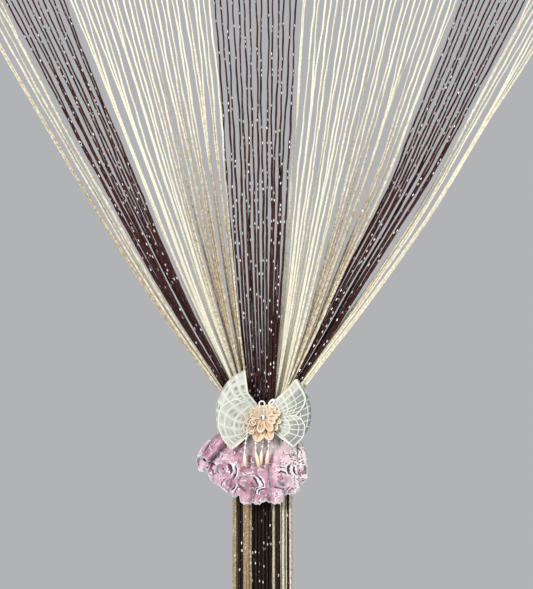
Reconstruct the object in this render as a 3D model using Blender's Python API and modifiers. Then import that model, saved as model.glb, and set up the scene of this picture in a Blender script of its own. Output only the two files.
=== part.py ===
"""String curtain, 1.0 m wide and 2.0 m long, gathered by a bow and flower tie-back.

Metres, +Z up. X runs along the heading, Y away from the room, so the decorated side faces -Y.
The origin is the middle of the heading's top edge.
"""

import math
from collections import namedtuple

import bmesh
import bpy

MM = 0.001
# Clear distance between pieces that touch, and between stacked soft pieces of the tie-back
GAP = 0.3 * MM
SEAT = 0.8 * MM

CURTAIN_WIDTH = 1.0
HEADING_HEIGHT = 75 * MM
POCKET_HEIGHT = 36 * MM
POCKET_DEPTH = 30 * MM
POCKET_SEAM_DROP = 6 * MM
POCKET_SEAM_ANGLE = 22
POCKET_SIDES = 20
HEADING_CLOTH = 1.5 * MM

STRIP_HEIGHT = 8 * MM
STRIP_THICKNESS = 2.4 * MM
STRING_THICKNESS = 1.4 * MM
STRING_LENGTH = 1.917
STRING_END_UNEVEN = 9 * MM
ROOT_UNEVEN = 1.2 * MM
STRING_WAVER = 0.9 * MM
STRING_WAVER_DEPTH = 0.25 * MM

TIE_DROP = 712 * MM
TIE_X = -5.1 * MM
ROW_PITCH = 2.8 * MM
BACK_ROW_Y = 8.4 * MM
BUNDLE_SPREAD_AT_END = 1.04
SHIFT_START = 30 * MM
SHIFT_END = 100 * MM

BAND_HEIGHT = 25 * MM
BAND_THICKNESS = 1.5 * MM
BAND_HALF_WIDTH = 52.2 * MM
BAND_HALF_DEPTH = 12.5 * MM
BAND_CORNER = 4 * MM
BAND_X = -4.7 * MM
BAND_Y = -2.5 * MM

PINCH_X = -6.4 * MM
PINCH_Z = -HEADING_HEIGHT - TIE_DROP + 5 * MM
FRILL_THICKNESS = 1.2 * MM
FRILL_TOP_WIDTH = 40 * MM
FRILL_Y = BAND_Y - BAND_HALF_DEPTH - BAND_THICKNESS - GAP - FRILL_THICKNESS / 2
FRILL_HEM_FORWARD = 7 * MM

BOW_THICKNESS = 1.2 * MM
BOW_PINCH_HALF_HEIGHT = 9 * MM
BOW_PINCH_HALF_DEPTH = 2.4 * MM
BOW_Y = FRILL_Y - FRILL_THICKNESS / 2 - SEAT - BOW_THICKNESS / 2 - BOW_PINCH_HALF_DEPTH
BOW_BULGE_FRONT = 17 * MM
BOW_BULGE_BACK = 1 * MM
BOW_SWEEP = 8 * MM

FLOWER_X = -5.0 * MM
FLOWER_Z = PINCH_Z + 1 * MM
PETAL_THICKNESS = 1.0 * MM
PETAL_HOLE = 2 * MM
BACK_PETALS_Y = BOW_Y - BOW_PINCH_HALF_DEPTH - BOW_THICKNESS / 2 - SEAT - PETAL_THICKNESS / 2
BACK_PETALS_SLOPE = 0.38
BACK_PETALS_CUP = 1.2 * MM
FRONT_PETALS_Y = BACK_PETALS_Y - PETAL_THICKNESS - SEAT
FRONT_PETALS_SLOPE = 0.5
FRONT_PETALS_CUP = 2.6 * MM

GEM_RADIUS = 4.4 * MM
GEM_TABLE_RADIUS = 2.4 * MM
GEM_DEPTH = 2.6 * MM
GEM_SIDES = 10
GEM_Y = FRONT_PETALS_Y - 4.2 * MM

RING_RADIUS = 4.4 * MM
RING_WIRE = 0.9 * MM
RING_X = -7.2 * MM
RING_RISE = 22 * MM
SLANT_LOOP_X = 14.5 * MM
SLANT_LOOP_RISE = 24 * MM
SLANT_LOOP_RADIUS = 2.6 * MM
SLANT_LOOP_STRETCH = 2.0
SLANT_LOOP_LEAN = 40
SLANT_LOOP_FRONT = 7.6 * MM

THREAD_RADIUS = 0.6 * MM
BEAD_RADIUS = 1.7 * MM
BEAD_PITCH = 7.4 * MM
DROP_RADIUS = 3.1 * MM
DROP_LENGTH = 24.5 * MM
PENDANT_SIDES = 6

Yarn = namedtuple("Yarn", "width colour")
YARNS = {
    "cream": Yarn(3.4 * MM, (0.78, 0.70, 0.53)),
    "brown": Yarn(3.0 * MM, (0.09, 0.025, 0.02)),
}

# Colour groups from left to right: where each one's roots start and end along the heading, in mm
Group = namedtuple("Group", "name yarn count root_left root_right")
GROUPS = (
    Group("strings_cream_outer_left", "cream", 7, -500.0, -437.0),
    Group("strings_brown_left", "brown", 12, -437.0, -331.3),
    Group("strings_cream_left", "cream", 27, -331.3, -89.5),
    Group("strings_brown_middle", "brown", 15, -89.5, 53.6),
    Group("strings_cream_right", "cream", 27, 53.6, 321.2),
    Group("strings_brown_right", "brown", 12, 321.2, 432.6),
    Group("strings_cream_outer_right", "cream", 8, 432.6, 500.0),
)

# How the strings lie in the tied bundle, in root order: columns from first to last in mm, rows left
# empty behind the lot, and how far in mm the lot moves sideways below the tie.
Lot = namedtuple("Lot", "group count columns first last behind shift")
LOTS = (
    Lot("strings_cream_outer_left", 7, 2, -53.4, -49.6, 2, 0.0),
    Lot("strings_brown_left", 12, 2, -45.4, -40.8, 1, 0.0),
    Lot("strings_cream_left", 27, 4, -36.6, -25.2, 0, 0.0),
    Lot("strings_brown_middle", 11, 6, -20.4, 4.2, 3, 0.0),
    Lot("strings_brown_middle", 4, 2, 4.6, 8.4, 7, 11.2),
    Lot("strings_cream_right", 7, 1, 11.0, 11.0, 0, 0.0),
    Lot("strings_cream_right", 20, 3, 22.6, 30.2, 0, 0.0),
    Lot("strings_brown_right", 12, 2, 34.2, 38.0, 1, 0.0),
    Lot("strings_cream_outer_right", 8, 1, 44.1, 44.1, 0, 0.0),
)

# A string's way down to the tie: share of the drop, and share of its sideways offset still left
Station = namedtuple("Station", "drop offset")
STRING_PATH = (
    Station(0.21, 0.803),
    Station(0.48, 0.542),
    Station(0.75, 0.260),
    Station(0.91, 0.066),
    Station(0.965, 0.0),
)

# The bow's outer folds, from bottom tip to top tip: place across the ribbon, reach and rise in mm
Fold = namedtuple("Fold", "across reach rise")
LEFT_FOLD = (
    Fold(-1.0, 48.8, -50.4),
    Fold(-0.7, 62.4, -33.6),
    Fold(-0.35, 72.0, -11.2),
    Fold(0.0, 73.6, 12.8),
    Fold(0.4, 64.8, 41.6),
    Fold(0.7, 48.8, 64.0),
    Fold(1.0, 29.0, 75.0),
)
RIGHT_FOLD = (
    Fold(-1.0, 50.4, -47.2),
    Fold(-0.7, 64.8, -29.6),
    Fold(-0.35, 75.2, -11.2),
    Fold(0.0, 77.6, 8.0),
    Fold(0.4, 74.4, 30.4),
    Fold(0.7, 66.4, 46.4),
    Fold(1.0, 56.0, 61.0),
)
# How much the top edge of a wing sags between the pinch and its tip
LEFT_HOLLOW = 0.9
RIGHT_HOLLOW = 0.08
# How fast a wing bulges and sweeps forward on its way out, and how much flatter its edges are
BOW_BULGE_POWER = 1.7
BOW_SWEEP_POWER = 1.5
BOW_FLATTER_EDGE = 0.35
BOW_COLUMNS = 9
BOW_STEPS = 10

# The frill's hem from its rolled left edge to its right edge: out, down and forward in mm
Hem = namedtuple("Hem", "out down forward")
FRILL_HEM = (
    Hem(-93.0, 60.0, 13.0),
    Hem(-104.0, 63.0, 6.0),
    Hem(-102.0, 75.0, -2.0),
    Hem(-90.0, 77.0, -1.0),
    Hem(-80.8, 91.2, 8.0),
    Hem(-69.6, 94.0, 0.0),
    Hem(-58.0, 103.0, 8.0),
    Hem(-50.4, 115.0, 1.0),
    Hem(-40.5, 117.0, -3.0),
    Hem(-35.2, 127.0, 7.0),
    Hem(-21.6, 123.5, 11.0),
    Hem(-8.8, 128.3, 1.0),
    Hem(5.6, 122.8, 9.0),
    Hem(20.0, 128.6, 1.0),
    Hem(34.0, 122.0, 10.0),
    Hem(42.4, 110.0, -1.0),
    Hem(55.2, 108.5, 9.0),
    Hem(64.8, 97.0, -1.0),
    Hem(71.8, 86.0, 7.0),
    Hem(68.0, 72.0, -2.0),
)
# How fast the cloth comes forward and its flutes deepen towards the hem, and how late its sides drop
FRILL_FORWARD_POWER = 1.5
FRILL_FLUTE_POWER = 1.6
FRILL_SIDE_DROOP = 0.7
FRILL_ROWS = 6
FRILL_BETWEEN = 2

# Petal tips around the gem: direction anticlockwise from the right in degrees, and reach in mm
Petal = namedtuple("Petal", "direction reach")
BACK_PETALS = (
    Petal(18, 28),
    Petal(58, 20),
    Petal(98, 18),
    Petal(138, 21),
    Petal(178, 30),
    Petal(218, 33),
    Petal(258, 38),
    Petal(300, 36),
    Petal(340, 30),
)
FRONT_PETALS = (
    Petal(4, 20),
    Petal(55, 14),
    Petal(112, 14),
    Petal(165, 18),
    Petal(212, 21),
    Petal(262, 20),
    Petal(312, 21),
)
PETAL_SAMPLES = 6
PETAL_RINGS = (0.0, 0.42, 0.8, 1.0)
PETAL_NOTCH = 0.45
PETAL_TIP_POWER = 2.6
PETAL_LIP_START = 0.6
PETAL_CUP_FULL_AT = 10 * MM

# A drop's outline: share of its length from the top, and share of its radius
Turned = namedtuple("Turned", "down width")
DROP_OUTLINE = (
    Turned(0.12, 0.45),
    Turned(0.40, 0.80),
    Turned(0.72, 1.00),
    Turned(0.90, 0.75),
)

# Bead threads under the flower: top place in mm from the pinch, slant in degrees, bare thread above
# the beads in mm, and beads
Pendant = namedtuple("Pendant", "x top slant bare beads")
PENDANTS = (
    Pendant(-24.0, -17.5, -7.0, 6.0, 4),
    Pendant(-11.2, -31.5, 1.0, 6.5, 2),
    Pendant(3.0, -23.5, -8.0, 5.5, 3),
    Pendant(11.2, -26.0, -4.5, 9.0, 2),
)


def clear_scene():
    for thing in list(bpy.data.objects):
        bpy.data.objects.remove(thing)


def collection(name):
    made = bpy.data.collections.new(name)
    bpy.context.scene.collection.children.link(made)
    return made


def material(name, colour, roughness, metallic=0.0):
    made = bpy.data.materials.new(name)
    made.use_nodes = True
    shader = made.node_tree.nodes["Principled BSDF"]
    shader.inputs["Base Color"].default_value = (*colour, 1)
    shader.inputs["Roughness"].default_value = roughness
    shader.inputs["Metallic"].default_value = metallic
    return made


def placed(name, data, parts, look):
    made = bpy.data.objects.new(name, data)
    parts.objects.link(made)
    data.materials.append(look)
    return made


def adopted(name, parts, look):
    """Takes the primitive that was just added into the parts."""
    made = bpy.context.object
    made.name = name
    made.data.materials.append(look)
    for holder in made.users_collection:
        holder.objects.unlink(made)
    parts.objects.link(made)
    return made


def stretched(mesh, x, y, z):
    mesh.transform(((x, 0, 0, 0), (0, y, 0, 0), (0, 0, z, 0), (0, 0, 0, 1)))


def uneven(number, seed=0.0):
    """A fixed uneven value from -1 to 1 for each number."""
    wave = math.sin(number * 2.399 + seed) + math.sin(number * 5.13 + 1.7 * seed + 0.6)
    return wave / 2


def outline(curve, points):
    spline = curve.splines.new("POLY")
    spline.points.add(len(points) - 1)
    for point, (x, y) in zip(spline.points, points):
        point.co = (x, y, 0, 1)
    spline.use_cyclic_u = True


def extruded(name, outlines, length, parts, look):
    curve = bpy.data.curves.new(name, "CURVE")
    curve.dimensions = "2D"
    curve.fill_mode = "BOTH"
    curve.extrude = length / 2
    for points in outlines:
        outline(curve, points)
    return placed(name, curve, parts, look)


def oval(half_width, half_height, centre, start, end, count):
    """Points of an oval from one angle to another, in degrees."""
    points = []
    for number in range(count):
        angle = math.radians(start + (end - start) * number / (count - 1))
        points.append((half_width * math.cos(angle), centre + half_height * math.sin(angle)))
    return points


def make_heading(parts, look):
    """A band with an open pocket for a rod, closed below it by a seam."""
    centre = -HEADING_CLOTH - POCKET_HEIGHT / 2
    outer_width = POCKET_DEPTH / 2 + HEADING_CLOTH
    outer_height = POCKET_HEIGHT / 2 + HEADING_CLOTH
    seam = centre - outer_height - POCKET_SEAM_DROP
    start = -90 + POCKET_SEAM_ANGLE
    end = 270 - POCKET_SEAM_ANGLE
    outer = oval(outer_width, outer_height, centre, start, end, POCKET_SIDES - 1)
    outer += [(-HEADING_CLOTH, seam), (-HEADING_CLOTH, -HEADING_HEIGHT)]
    outer += [(HEADING_CLOTH, -HEADING_HEIGHT), (HEADING_CLOTH, seam)]
    last = 360 - 360 / POCKET_SIDES
    inner = oval(POCKET_DEPTH / 2, POCKET_HEIGHT / 2, centre, 0, last, POCKET_SIDES)
    heading = extruded("heading", (outer, inner), CURTAIN_WIDTH, parts, look)
    heading.rotation_euler = (math.pi / 2, 0, math.pi / 2)


def root_places(group):
    """Where a group's strings leave the heading, a little unevenly spaced."""
    pitch = (group.root_right - group.root_left) * MM / group.count
    for number in range(group.count):
        yield group.root_left * MM + (number + 0.5) * pitch + ROOT_UNEVEN * uneven(number, group.root_left)


def bundle_places(group):
    """Where a group's strings lie in the tied bundle, filled column by column from the back."""
    for lot in LOTS:
        if lot.group != group.name:
            continue
        rows = math.ceil(lot.count / lot.columns)
        pitch = (lot.last - lot.first) / max(lot.columns - 1, 1)
        for number in range(lot.count):
            column, row = divmod(number, rows)
            row += lot.behind
            stagger = pitch / 2 if row % 2 else 0.0
            x = lot.first + column * pitch + stagger
            yield x * MM, BACK_ROW_Y - ROW_PITCH * row, lot.shift * MM


def string_points(root_x, tie_x, tie_y, shift, seed):
    """A string from inside its root strip, slanting into the tie and hanging to its cut end."""
    root_z = -HEADING_HEIGHT - GAP - STRIP_HEIGHT
    points = [(root_x, 0, root_z + STRIP_HEIGHT / 2), (root_x, 0, root_z)]
    for place, station in enumerate(STRING_PATH):
        left = station.offset
        x = tie_x + left * (root_x - tie_x) + STRING_WAVER * left * uneven(place, seed)
        y = tie_y * (1 - left**3) + STRING_WAVER_DEPTH * left * uneven(place, seed + 2)
        points.append((x, y, root_z - station.drop * TIE_DROP))
    used = sum(math.dist(a, b) for a, b in zip(points, points[1:]))
    end = STRING_LENGTH - used + STRING_END_UNEVEN * uneven(seed, 3)
    x, y, z = points[-1]
    if shift:
        points.append((x, y, z - SHIFT_START))
    for share in (SHIFT_END / end, 1.0):
        spread = 1 + (BUNDLE_SPREAD_AT_END - 1) * share
        points.append((TIE_X + (x + shift - TIE_X) * spread, y * spread, z - end * share))
    return points


def flat_profile(yarn, cutters):
    """The cross-section of one flat braided string."""
    curve = bpy.data.curves.new("string_section", "CURVE")
    curve.dimensions = "2D"
    half_width = yarn.width / 2
    half_thickness = STRING_THICKNESS / 2
    corners = ((-1, -1), (1, -1), (1, 1), (-1, 1))
    outline(curve, [(half_width * x, half_thickness * y) for x, y in corners])
    section = bpy.data.objects.new("string_section", curve)
    section.hide_render = True
    section.display_type = "WIRE"
    cutters.objects.link(section)
    return section


def as_mesh(curve_object, welded=0.01 * MM):
    """The curve object's tubes as a closed mesh."""
    graph = bpy.context.evaluated_depsgraph_get()
    mesh = bpy.data.meshes.new_from_object(curve_object.evaluated_get(graph))
    shape = bmesh.new()
    shape.from_mesh(mesh)
    bmesh.ops.remove_doubles(shape, verts=shape.verts, dist=welded)
    bmesh.ops.recalc_face_normals(shape, faces=shape.faces)
    shape.to_mesh(mesh)
    shape.free()
    return mesh


def make_strings(group, first_number, parts, cutters, look):
    """One colour group: its strings fused by their roots into a narrow strip under the heading."""
    section = flat_profile(YARNS[group.yarn], cutters)
    curve = bpy.data.curves.new(group.name, "CURVE")
    curve.dimensions = "3D"
    curve.twist_mode = "MINIMUM"
    curve.bevel_mode = "OBJECT"
    curve.bevel_object = section
    curve.use_fill_caps = True
    places = zip(root_places(group), bundle_places(group))
    for number, (root_x, (tie_x, tie_y, shift)) in enumerate(places):
        points = string_points(root_x, tie_x, tie_y, shift, first_number + number)
        spline = curve.splines.new("POLY")
        spline.points.add(len(points) - 1)
        for point, place in zip(spline.points, points):
            point.co = (*place, 1)
    drawn = bpy.data.objects.new(group.name + "_curve", curve)
    cutters.objects.link(drawn)
    strands = placed(group.name + "_strands", as_mesh(drawn), cutters, look)
    strands.hide_render = True
    strands.display_type = "WIRE"
    bpy.data.objects.remove(drawn)

    width = (group.root_right - group.root_left) * MM - GAP
    bpy.ops.mesh.primitive_cube_add(size=1)
    strip = adopted(group.name, parts, look)
    stretched(strip.data, width, STRIP_THICKNESS, STRIP_HEIGHT)
    middle = (group.root_left + group.root_right) / 2 * MM
    strip.location = (middle, 0, -HEADING_HEIGHT - GAP - STRIP_HEIGHT / 2)
    fuse = strip.modifiers.new("fuse", "BOOLEAN")
    fuse.operation = "UNION"
    fuse.object = strands


def rounded_rectangle(half_width, half_depth, corner, steps=4):
    points = []
    for quarter, (x, y) in enumerate(((1, 1), (-1, 1), (-1, -1), (1, -1))):
        for step in range(steps + 1):
            angle = math.pi / 2 * (quarter + step / steps)
            points.append(
                (
                    x * (half_width - corner) + corner * math.cos(angle),
                    y * (half_depth - corner) + corner * math.sin(angle),
                )
            )
    return points


def make_tie_band(parts, look):
    """The plain ribbon that holds the bundle together behind the bow."""
    wide = BAND_HALF_WIDTH + BAND_THICKNESS
    deep = BAND_HALF_DEPTH + BAND_THICKNESS
    outer = rounded_rectangle(wide, deep, BAND_CORNER + BAND_THICKNESS)
    inner = rounded_rectangle(BAND_HALF_WIDTH, BAND_HALF_DEPTH, BAND_CORNER)
    band = extruded("tie_band", (outer, inner), BAND_HEIGHT, parts, look)
    band.location = (BAND_X, BAND_Y, -HEADING_HEIGHT - TIE_DROP)


def between(rows, key, value, at):
    """Reads a table by its key column, straight between its rows."""
    for low, high in zip(rows, rows[1:]):
        start, end = getattr(low, key), getattr(high, key)
        if at <= end:
            share = (at - start) / (end - start)
            return getattr(low, value) * (1 - share) + getattr(high, value) * share
    return getattr(rows[-1], value)


def sheet_from_grid(name, grid, closed, thickness, parts, look):
    """A sheet lofted through rows of points, thickened to both sides."""
    shape = bmesh.new()
    rows = [[shape.verts.new(point) for point in row] for row in grid]
    wrap = 0 if closed else 1
    for number in range(len(rows) - wrap):
        low, high = rows[number], rows[(number + 1) % len(rows)]
        for place in range(len(low) - 1):
            shape.faces.new((low[place], low[place + 1], high[place + 1], high[place]))
    bmesh.ops.recalc_face_normals(shape, faces=shape.faces)
    mesh = bpy.data.meshes.new(name)
    shape.to_mesh(mesh)
    shape.free()
    mesh.shade_smooth()
    sheet = placed(name, mesh, parts, look)
    thicken = sheet.modifiers.new("thicken", "SOLIDIFY")
    thicken.thickness = thickness
    thicken.offset = 0.0
    return sheet


def bow_point(side, fold, hollow, turn, across):
    """A point of one wing: turn runs from the pinch's front round the outer fold to its back."""
    out = math.sin(turn)
    front = math.cos(turn)
    reach = between(fold, "across", "reach", across) * MM
    rise = between(fold, "across", "rise", across) * MM
    pinch = across * BOW_PINCH_HALF_HEIGHT
    lift = out ** (1 + hollow * max(across, 0) ** 2)
    bulge = BOW_BULGE_FRONT if front > 0 else BOW_BULGE_BACK
    bulge *= out**BOW_BULGE_POWER * (1 - BOW_FLATTER_EDGE * abs(across))
    depth = front * (BOW_PINCH_HALF_DEPTH + bulge)
    x = PINCH_X + side * reach * out
    y = BOW_Y - depth - BOW_SWEEP * out**BOW_SWEEP_POWER
    return (x, y, PINCH_Z + pinch * (1 - out) + rise * lift)


def make_bow(parts, look):
    """One stiff ribbon sewn into a ring, pinched in the middle so that it makes two wings."""
    grid = []
    for side, fold, hollow, start in (
        (1, RIGHT_FOLD, RIGHT_HOLLOW, 0.0),
        (-1, LEFT_FOLD, LEFT_HOLLOW, math.pi),
    ):
        for step in range(BOW_STEPS):
            turn = abs(start - math.pi * step / BOW_STEPS)
            row = []
            for place in range(BOW_COLUMNS):
                across = 2 * place / (BOW_COLUMNS - 1) - 1
                row.append(bow_point(side, fold, hollow, turn, across))
            grid.append(row)
    sheet_from_grid("bow", grid, True, BOW_THICKNESS, parts, look)


def smooth_hem():
    """The hem table with points added between its rows on a smooth line."""
    ends = (FRILL_HEM[0], *FRILL_HEM, FRILL_HEM[-1])
    points = []
    for before, start, end, after in zip(ends, ends[1:], ends[2:], ends[3:]):
        for step in range(FRILL_BETWEEN):
            t = step / FRILL_BETWEEN
            point = []
            for a, b, c, d in zip(before, start, end, after):
                bend = (2 * a - 5 * b + 4 * c - d) * t * t + (3 * b - a - 3 * c + d) * t**3
                point.append((2 * b + (c - a) * t + bend) / 2)
            points.append(Hem(*point))
    return points + [FRILL_HEM[-1]]


def make_frill(parts, look):
    """A ruffled cloth that fans down and out from the pinch in uneven flutes."""
    hem = smooth_hem()
    grid = []
    for number, edge in enumerate(hem):
        place = 2 * number / (len(hem) - 1) - 1
        top_x = place * FRILL_TOP_WIDTH / 2
        column = []
        for row in range(FRILL_ROWS + 1):
            t = row / FRILL_ROWS
            out = math.sin(t * math.pi / 2) * abs(place) + t * (1 - abs(place))
            down = t ** (1 + FRILL_SIDE_DROOP * place * place)
            x = top_x + (edge.out * MM - top_x) * out
            y = FRILL_Y - FRILL_HEM_FORWARD * t**FRILL_FORWARD_POWER
            y -= edge.forward * MM * t**FRILL_FLUTE_POWER
            column.append((PINCH_X + x, y, PINCH_Z - edge.down * MM * down))
        grid.append(column)
    sheet_from_grid("frill", grid, False, FRILL_THICKNESS, parts, look)


def petal_forward(distance, slope):
    """How far forward a petal's middle line has come at a distance from the gem's middle."""
    return slope * (distance - PETAL_HOLE)


def make_petals(name, petals, y, slope, cup, parts, look):
    """A ring of cupped satin petals round the gem, cut as one piece with deep notches."""
    grid = []
    count = len(petals)
    for number, petal in enumerate(petals):
        before = petals[number - 1]
        after = petals[(number + 1) % count]
        to_before = (petal.direction - before.direction) % 360 / 2
        to_after = (after.direction - petal.direction) % 360 / 2
        for sample in range(PETAL_SAMPLES):
            side = 2 * sample / PETAL_SAMPLES - 1
            span = to_before if side < 0 else to_after
            angle = math.radians(petal.direction + side * span)
            neighbour = before.reach if side < 0 else after.reach
            notch = min(petal.reach, neighbour) * PETAL_NOTCH
            reach = (notch + (petal.reach - notch) * (1 - abs(side) ** PETAL_TIP_POWER)) * MM
            row = []
            for ring in PETAL_RINGS:
                distance = PETAL_HOLE + (reach - PETAL_HOLE) * ring
                share = distance / (petal.reach * MM)
                hollow = side * side * math.sin(3 / 4 * math.pi * share)
                hollow *= min(1, distance / PETAL_CUP_FULL_AT)
                lip = max(ring - PETAL_LIP_START, 0) / 2
                forward = petal_forward(distance, slope) + cup * (hollow + lip)
                row.append(
                    (
                        FLOWER_X + distance * math.cos(angle),
                        y - forward,
                        FLOWER_Z + distance * math.sin(angle),
                    )
                )
            grid.append(row)
    sheet_from_grid(name, grid, True, PETAL_THICKNESS, parts, look)


def make_gem(parts, look):
    """A faceted stone with a flat back."""
    bpy.ops.mesh.primitive_cone_add(
        vertices=GEM_SIDES, radius1=GEM_RADIUS, radius2=GEM_TABLE_RADIUS, depth=GEM_DEPTH
    )
    gem = adopted("gem", parts, look)
    gem.rotation_euler = (math.pi / 2, 0, 0)
    gem.location = (FLOWER_X, GEM_Y, FLOWER_Z)


def make_loop(name, place, radius, stretch, lean, parts, look):
    """A small cord loop above the flower."""
    bpy.ops.mesh.primitive_torus_add(
        major_radius=radius, minor_radius=RING_WIRE, major_segments=12, minor_segments=5
    )
    loop = adopted(name, parts, look)
    stretched(loop.data, 1, stretch, 1)
    loop.rotation_euler = (math.pi / 2, math.radians(lean), 0)
    loop.location = place


def make_loops(parts, look):
    """A round loop sewn behind the top petal and a slanted one on the right wing."""
    tip = BACK_PETALS_Y - petal_forward(RING_RISE - RING_RADIUS, BACK_PETALS_SLOPE)
    y = tip + PETAL_THICKNESS / 2 + SEAT + RING_WIRE
    ring_place = (RING_X, y, PINCH_Z + RING_RISE)
    make_loop("ring_loop", ring_place, RING_RADIUS, 1, 0, parts, look)
    slant_place = (PINCH_X + SLANT_LOOP_X, BOW_Y - SLANT_LOOP_FRONT, PINCH_Z + SLANT_LOOP_RISE)
    slant = (SLANT_LOOP_RADIUS, SLANT_LOOP_STRETCH, SLANT_LOOP_LEAN)
    make_loop("slant_loop", slant_place, *slant, parts, look)


def pendant_profile(pendant):
    """The turned outline of a bead thread and its long drop, from top to bottom."""
    points = [(0.0, 0.0), (THREAD_RADIUS, 0.0)]
    height = -pendant.bare * MM
    for _ in range(pendant.beads):
        points.append((THREAD_RADIUS, height))
        points.append((BEAD_RADIUS, height - BEAD_RADIUS))
        points.append((THREAD_RADIUS, height - 2 * BEAD_RADIUS))
        height -= BEAD_PITCH
    points.append((THREAD_RADIUS, height))
    for turned in DROP_OUTLINE:
        points.append((DROP_RADIUS * turned.width, height - DROP_LENGTH * turned.down))
    points.append((0.0, height - DROP_LENGTH))
    return points


def make_pendant(number, pendant, parts, look):
    """A bead thread whose top end is sewn behind a back petal."""
    name = f"pendant_{number}"
    mesh = bpy.data.meshes.new(name)
    points = [(radius, 0, height) for radius, height in pendant_profile(pendant)]
    mesh.from_pydata(points, [(k, k + 1) for k in range(len(points) - 1)], [])
    thing = placed(name, mesh, parts, look)
    x, z = PINCH_X + pendant.x * MM, PINCH_Z + pendant.top * MM
    distance = math.hypot(x - FLOWER_X, z - FLOWER_Z)
    petal = BACK_PETALS_Y - petal_forward(distance, BACK_PETALS_SLOPE) + PETAL_THICKNESS / 2
    thing.location = (x, petal + GAP + THREAD_RADIUS, z)
    thing.rotation_euler = (0, math.radians(-pendant.slant), 0)
    turn = thing.modifiers.new("turn", "SCREW")
    turn.steps = PENDANT_SIDES
    turn.render_steps = PENDANT_SIDES
    turn.use_merge_vertices = True
    turn.merge_threshold = 0.01 * MM


def main():
    clear_scene()
    parts = collection("string_curtain")
    cutters = collection("guides")
    yarns = {name: material(name + "_yarn", yarn.colour, 0.45, 0.1) for name, yarn in YARNS.items()}
    woven = material("woven_band", (0.72, 0.63, 0.47), 0.8)
    gauze = material("stiff_gauze", (0.80, 0.80, 0.70), 0.6)
    print_cloth = material("printed_cloth", (0.78, 0.42, 0.50), 0.7)
    satin = material("peach_satin", (0.90, 0.62, 0.40), 0.35)
    stone = material("clear_stone", (0.85, 0.87, 0.90), 0.05)
    cord = material("cream_cord", (0.88, 0.82, 0.68), 0.5)
    pearl = material("pearl", (0.92, 0.80, 0.62), 0.2)

    make_heading(parts, woven)
    first_number = 0
    for group in GROUPS:
        make_strings(group, first_number, parts, cutters, yarns[group.yarn])
        first_number += group.count
    make_tie_band(parts, woven)
    make_bow(parts, gauze)
    make_frill(parts, print_cloth)
    back = (BACK_PETALS, BACK_PETALS_Y, BACK_PETALS_SLOPE, BACK_PETALS_CUP)
    make_petals("flower_back", *back, parts, satin)
    front = (FRONT_PETALS, FRONT_PETALS_Y, FRONT_PETALS_SLOPE, FRONT_PETALS_CUP)
    make_petals("flower_front", *front, parts, satin)
    make_gem(parts, stone)
    make_loops(parts, cord)
    for number, pendant in enumerate(PENDANTS, 1):
        make_pendant(number, pendant, parts, pearl)


main()
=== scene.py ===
"""Looks of the string curtain with its bow and flower tie-back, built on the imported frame.

Metres, +Z up. X runs along the heading, and the decorated side faces -Y.
"""

import math
from collections import namedtuple

import bpy
import numpy as np
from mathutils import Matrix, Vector


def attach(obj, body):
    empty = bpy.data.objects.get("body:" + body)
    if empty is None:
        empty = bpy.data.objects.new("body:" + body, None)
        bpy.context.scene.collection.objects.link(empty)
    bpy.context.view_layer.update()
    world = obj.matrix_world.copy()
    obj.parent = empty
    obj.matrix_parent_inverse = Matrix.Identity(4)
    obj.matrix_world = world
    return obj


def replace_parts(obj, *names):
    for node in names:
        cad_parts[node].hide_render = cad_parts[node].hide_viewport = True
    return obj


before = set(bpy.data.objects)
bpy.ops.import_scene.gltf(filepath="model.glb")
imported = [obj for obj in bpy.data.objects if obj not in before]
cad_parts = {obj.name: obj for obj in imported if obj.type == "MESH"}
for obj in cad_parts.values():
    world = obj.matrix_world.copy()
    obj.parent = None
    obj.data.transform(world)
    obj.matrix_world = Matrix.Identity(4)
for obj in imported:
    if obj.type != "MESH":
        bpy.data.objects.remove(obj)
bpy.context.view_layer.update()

MM = 0.001

# Sizes that the frame's solids were made with
GAP = 0.3 * MM
SEAT = 0.8 * MM
HEADING_HEIGHT = 75 * MM
HEADING_WIDTH = 1.0
HEADING_CLOTH = 1.5 * MM
POCKET_HEIGHT = 36 * MM
POCKET_DEPTH = 30 * MM
POCKET_SEAM_DROP = 6 * MM
POCKET_SEAM_ANGLE = 22
STRIP_HEIGHT = 8 * MM
STRIP_THICKNESS = 2.4 * MM
STRING_THICKNESS = 1.4 * MM
STRING_LENGTH = 1.917
STRING_END_UNEVEN = 9 * MM
ROOT_UNEVEN = 1.2 * MM
STRING_WAVER = 0.9 * MM
STRING_WAVER_DEPTH = 0.25 * MM
TIE_DROP = 712 * MM
TIE_X = -5.1 * MM
ROW_PITCH = 2.8 * MM
BACK_ROW_Y = 8.4 * MM
BUNDLE_SPREAD_AT_END = 1.04
SHIFT_START = 30 * MM
SHIFT_END = 100 * MM

BAND_HEIGHT = 25 * MM
BAND_THICKNESS = 1.5 * MM
BAND_HALF_WIDTH = 52.2 * MM
BAND_HALF_DEPTH = 12.5 * MM
BAND_CORNER = 4 * MM
BAND_X = -4.7 * MM
BAND_Y = -2.5 * MM
BAND_Z = -HEADING_HEIGHT - TIE_DROP

PINCH_X = -6.4 * MM
PINCH_Z = BAND_Z + 5 * MM
FRILL_THICKNESS = 1.2 * MM
FRILL_TOP_WIDTH = 40 * MM
FRILL_Y = BAND_Y - BAND_HALF_DEPTH - BAND_THICKNESS - GAP - FRILL_THICKNESS / 2
FRILL_HEM_FORWARD = 7 * MM
FRILL_FORWARD_POWER = 1.5
FRILL_FLUTE_POWER = 1.6
FRILL_SIDE_DROOP = 0.7

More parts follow.
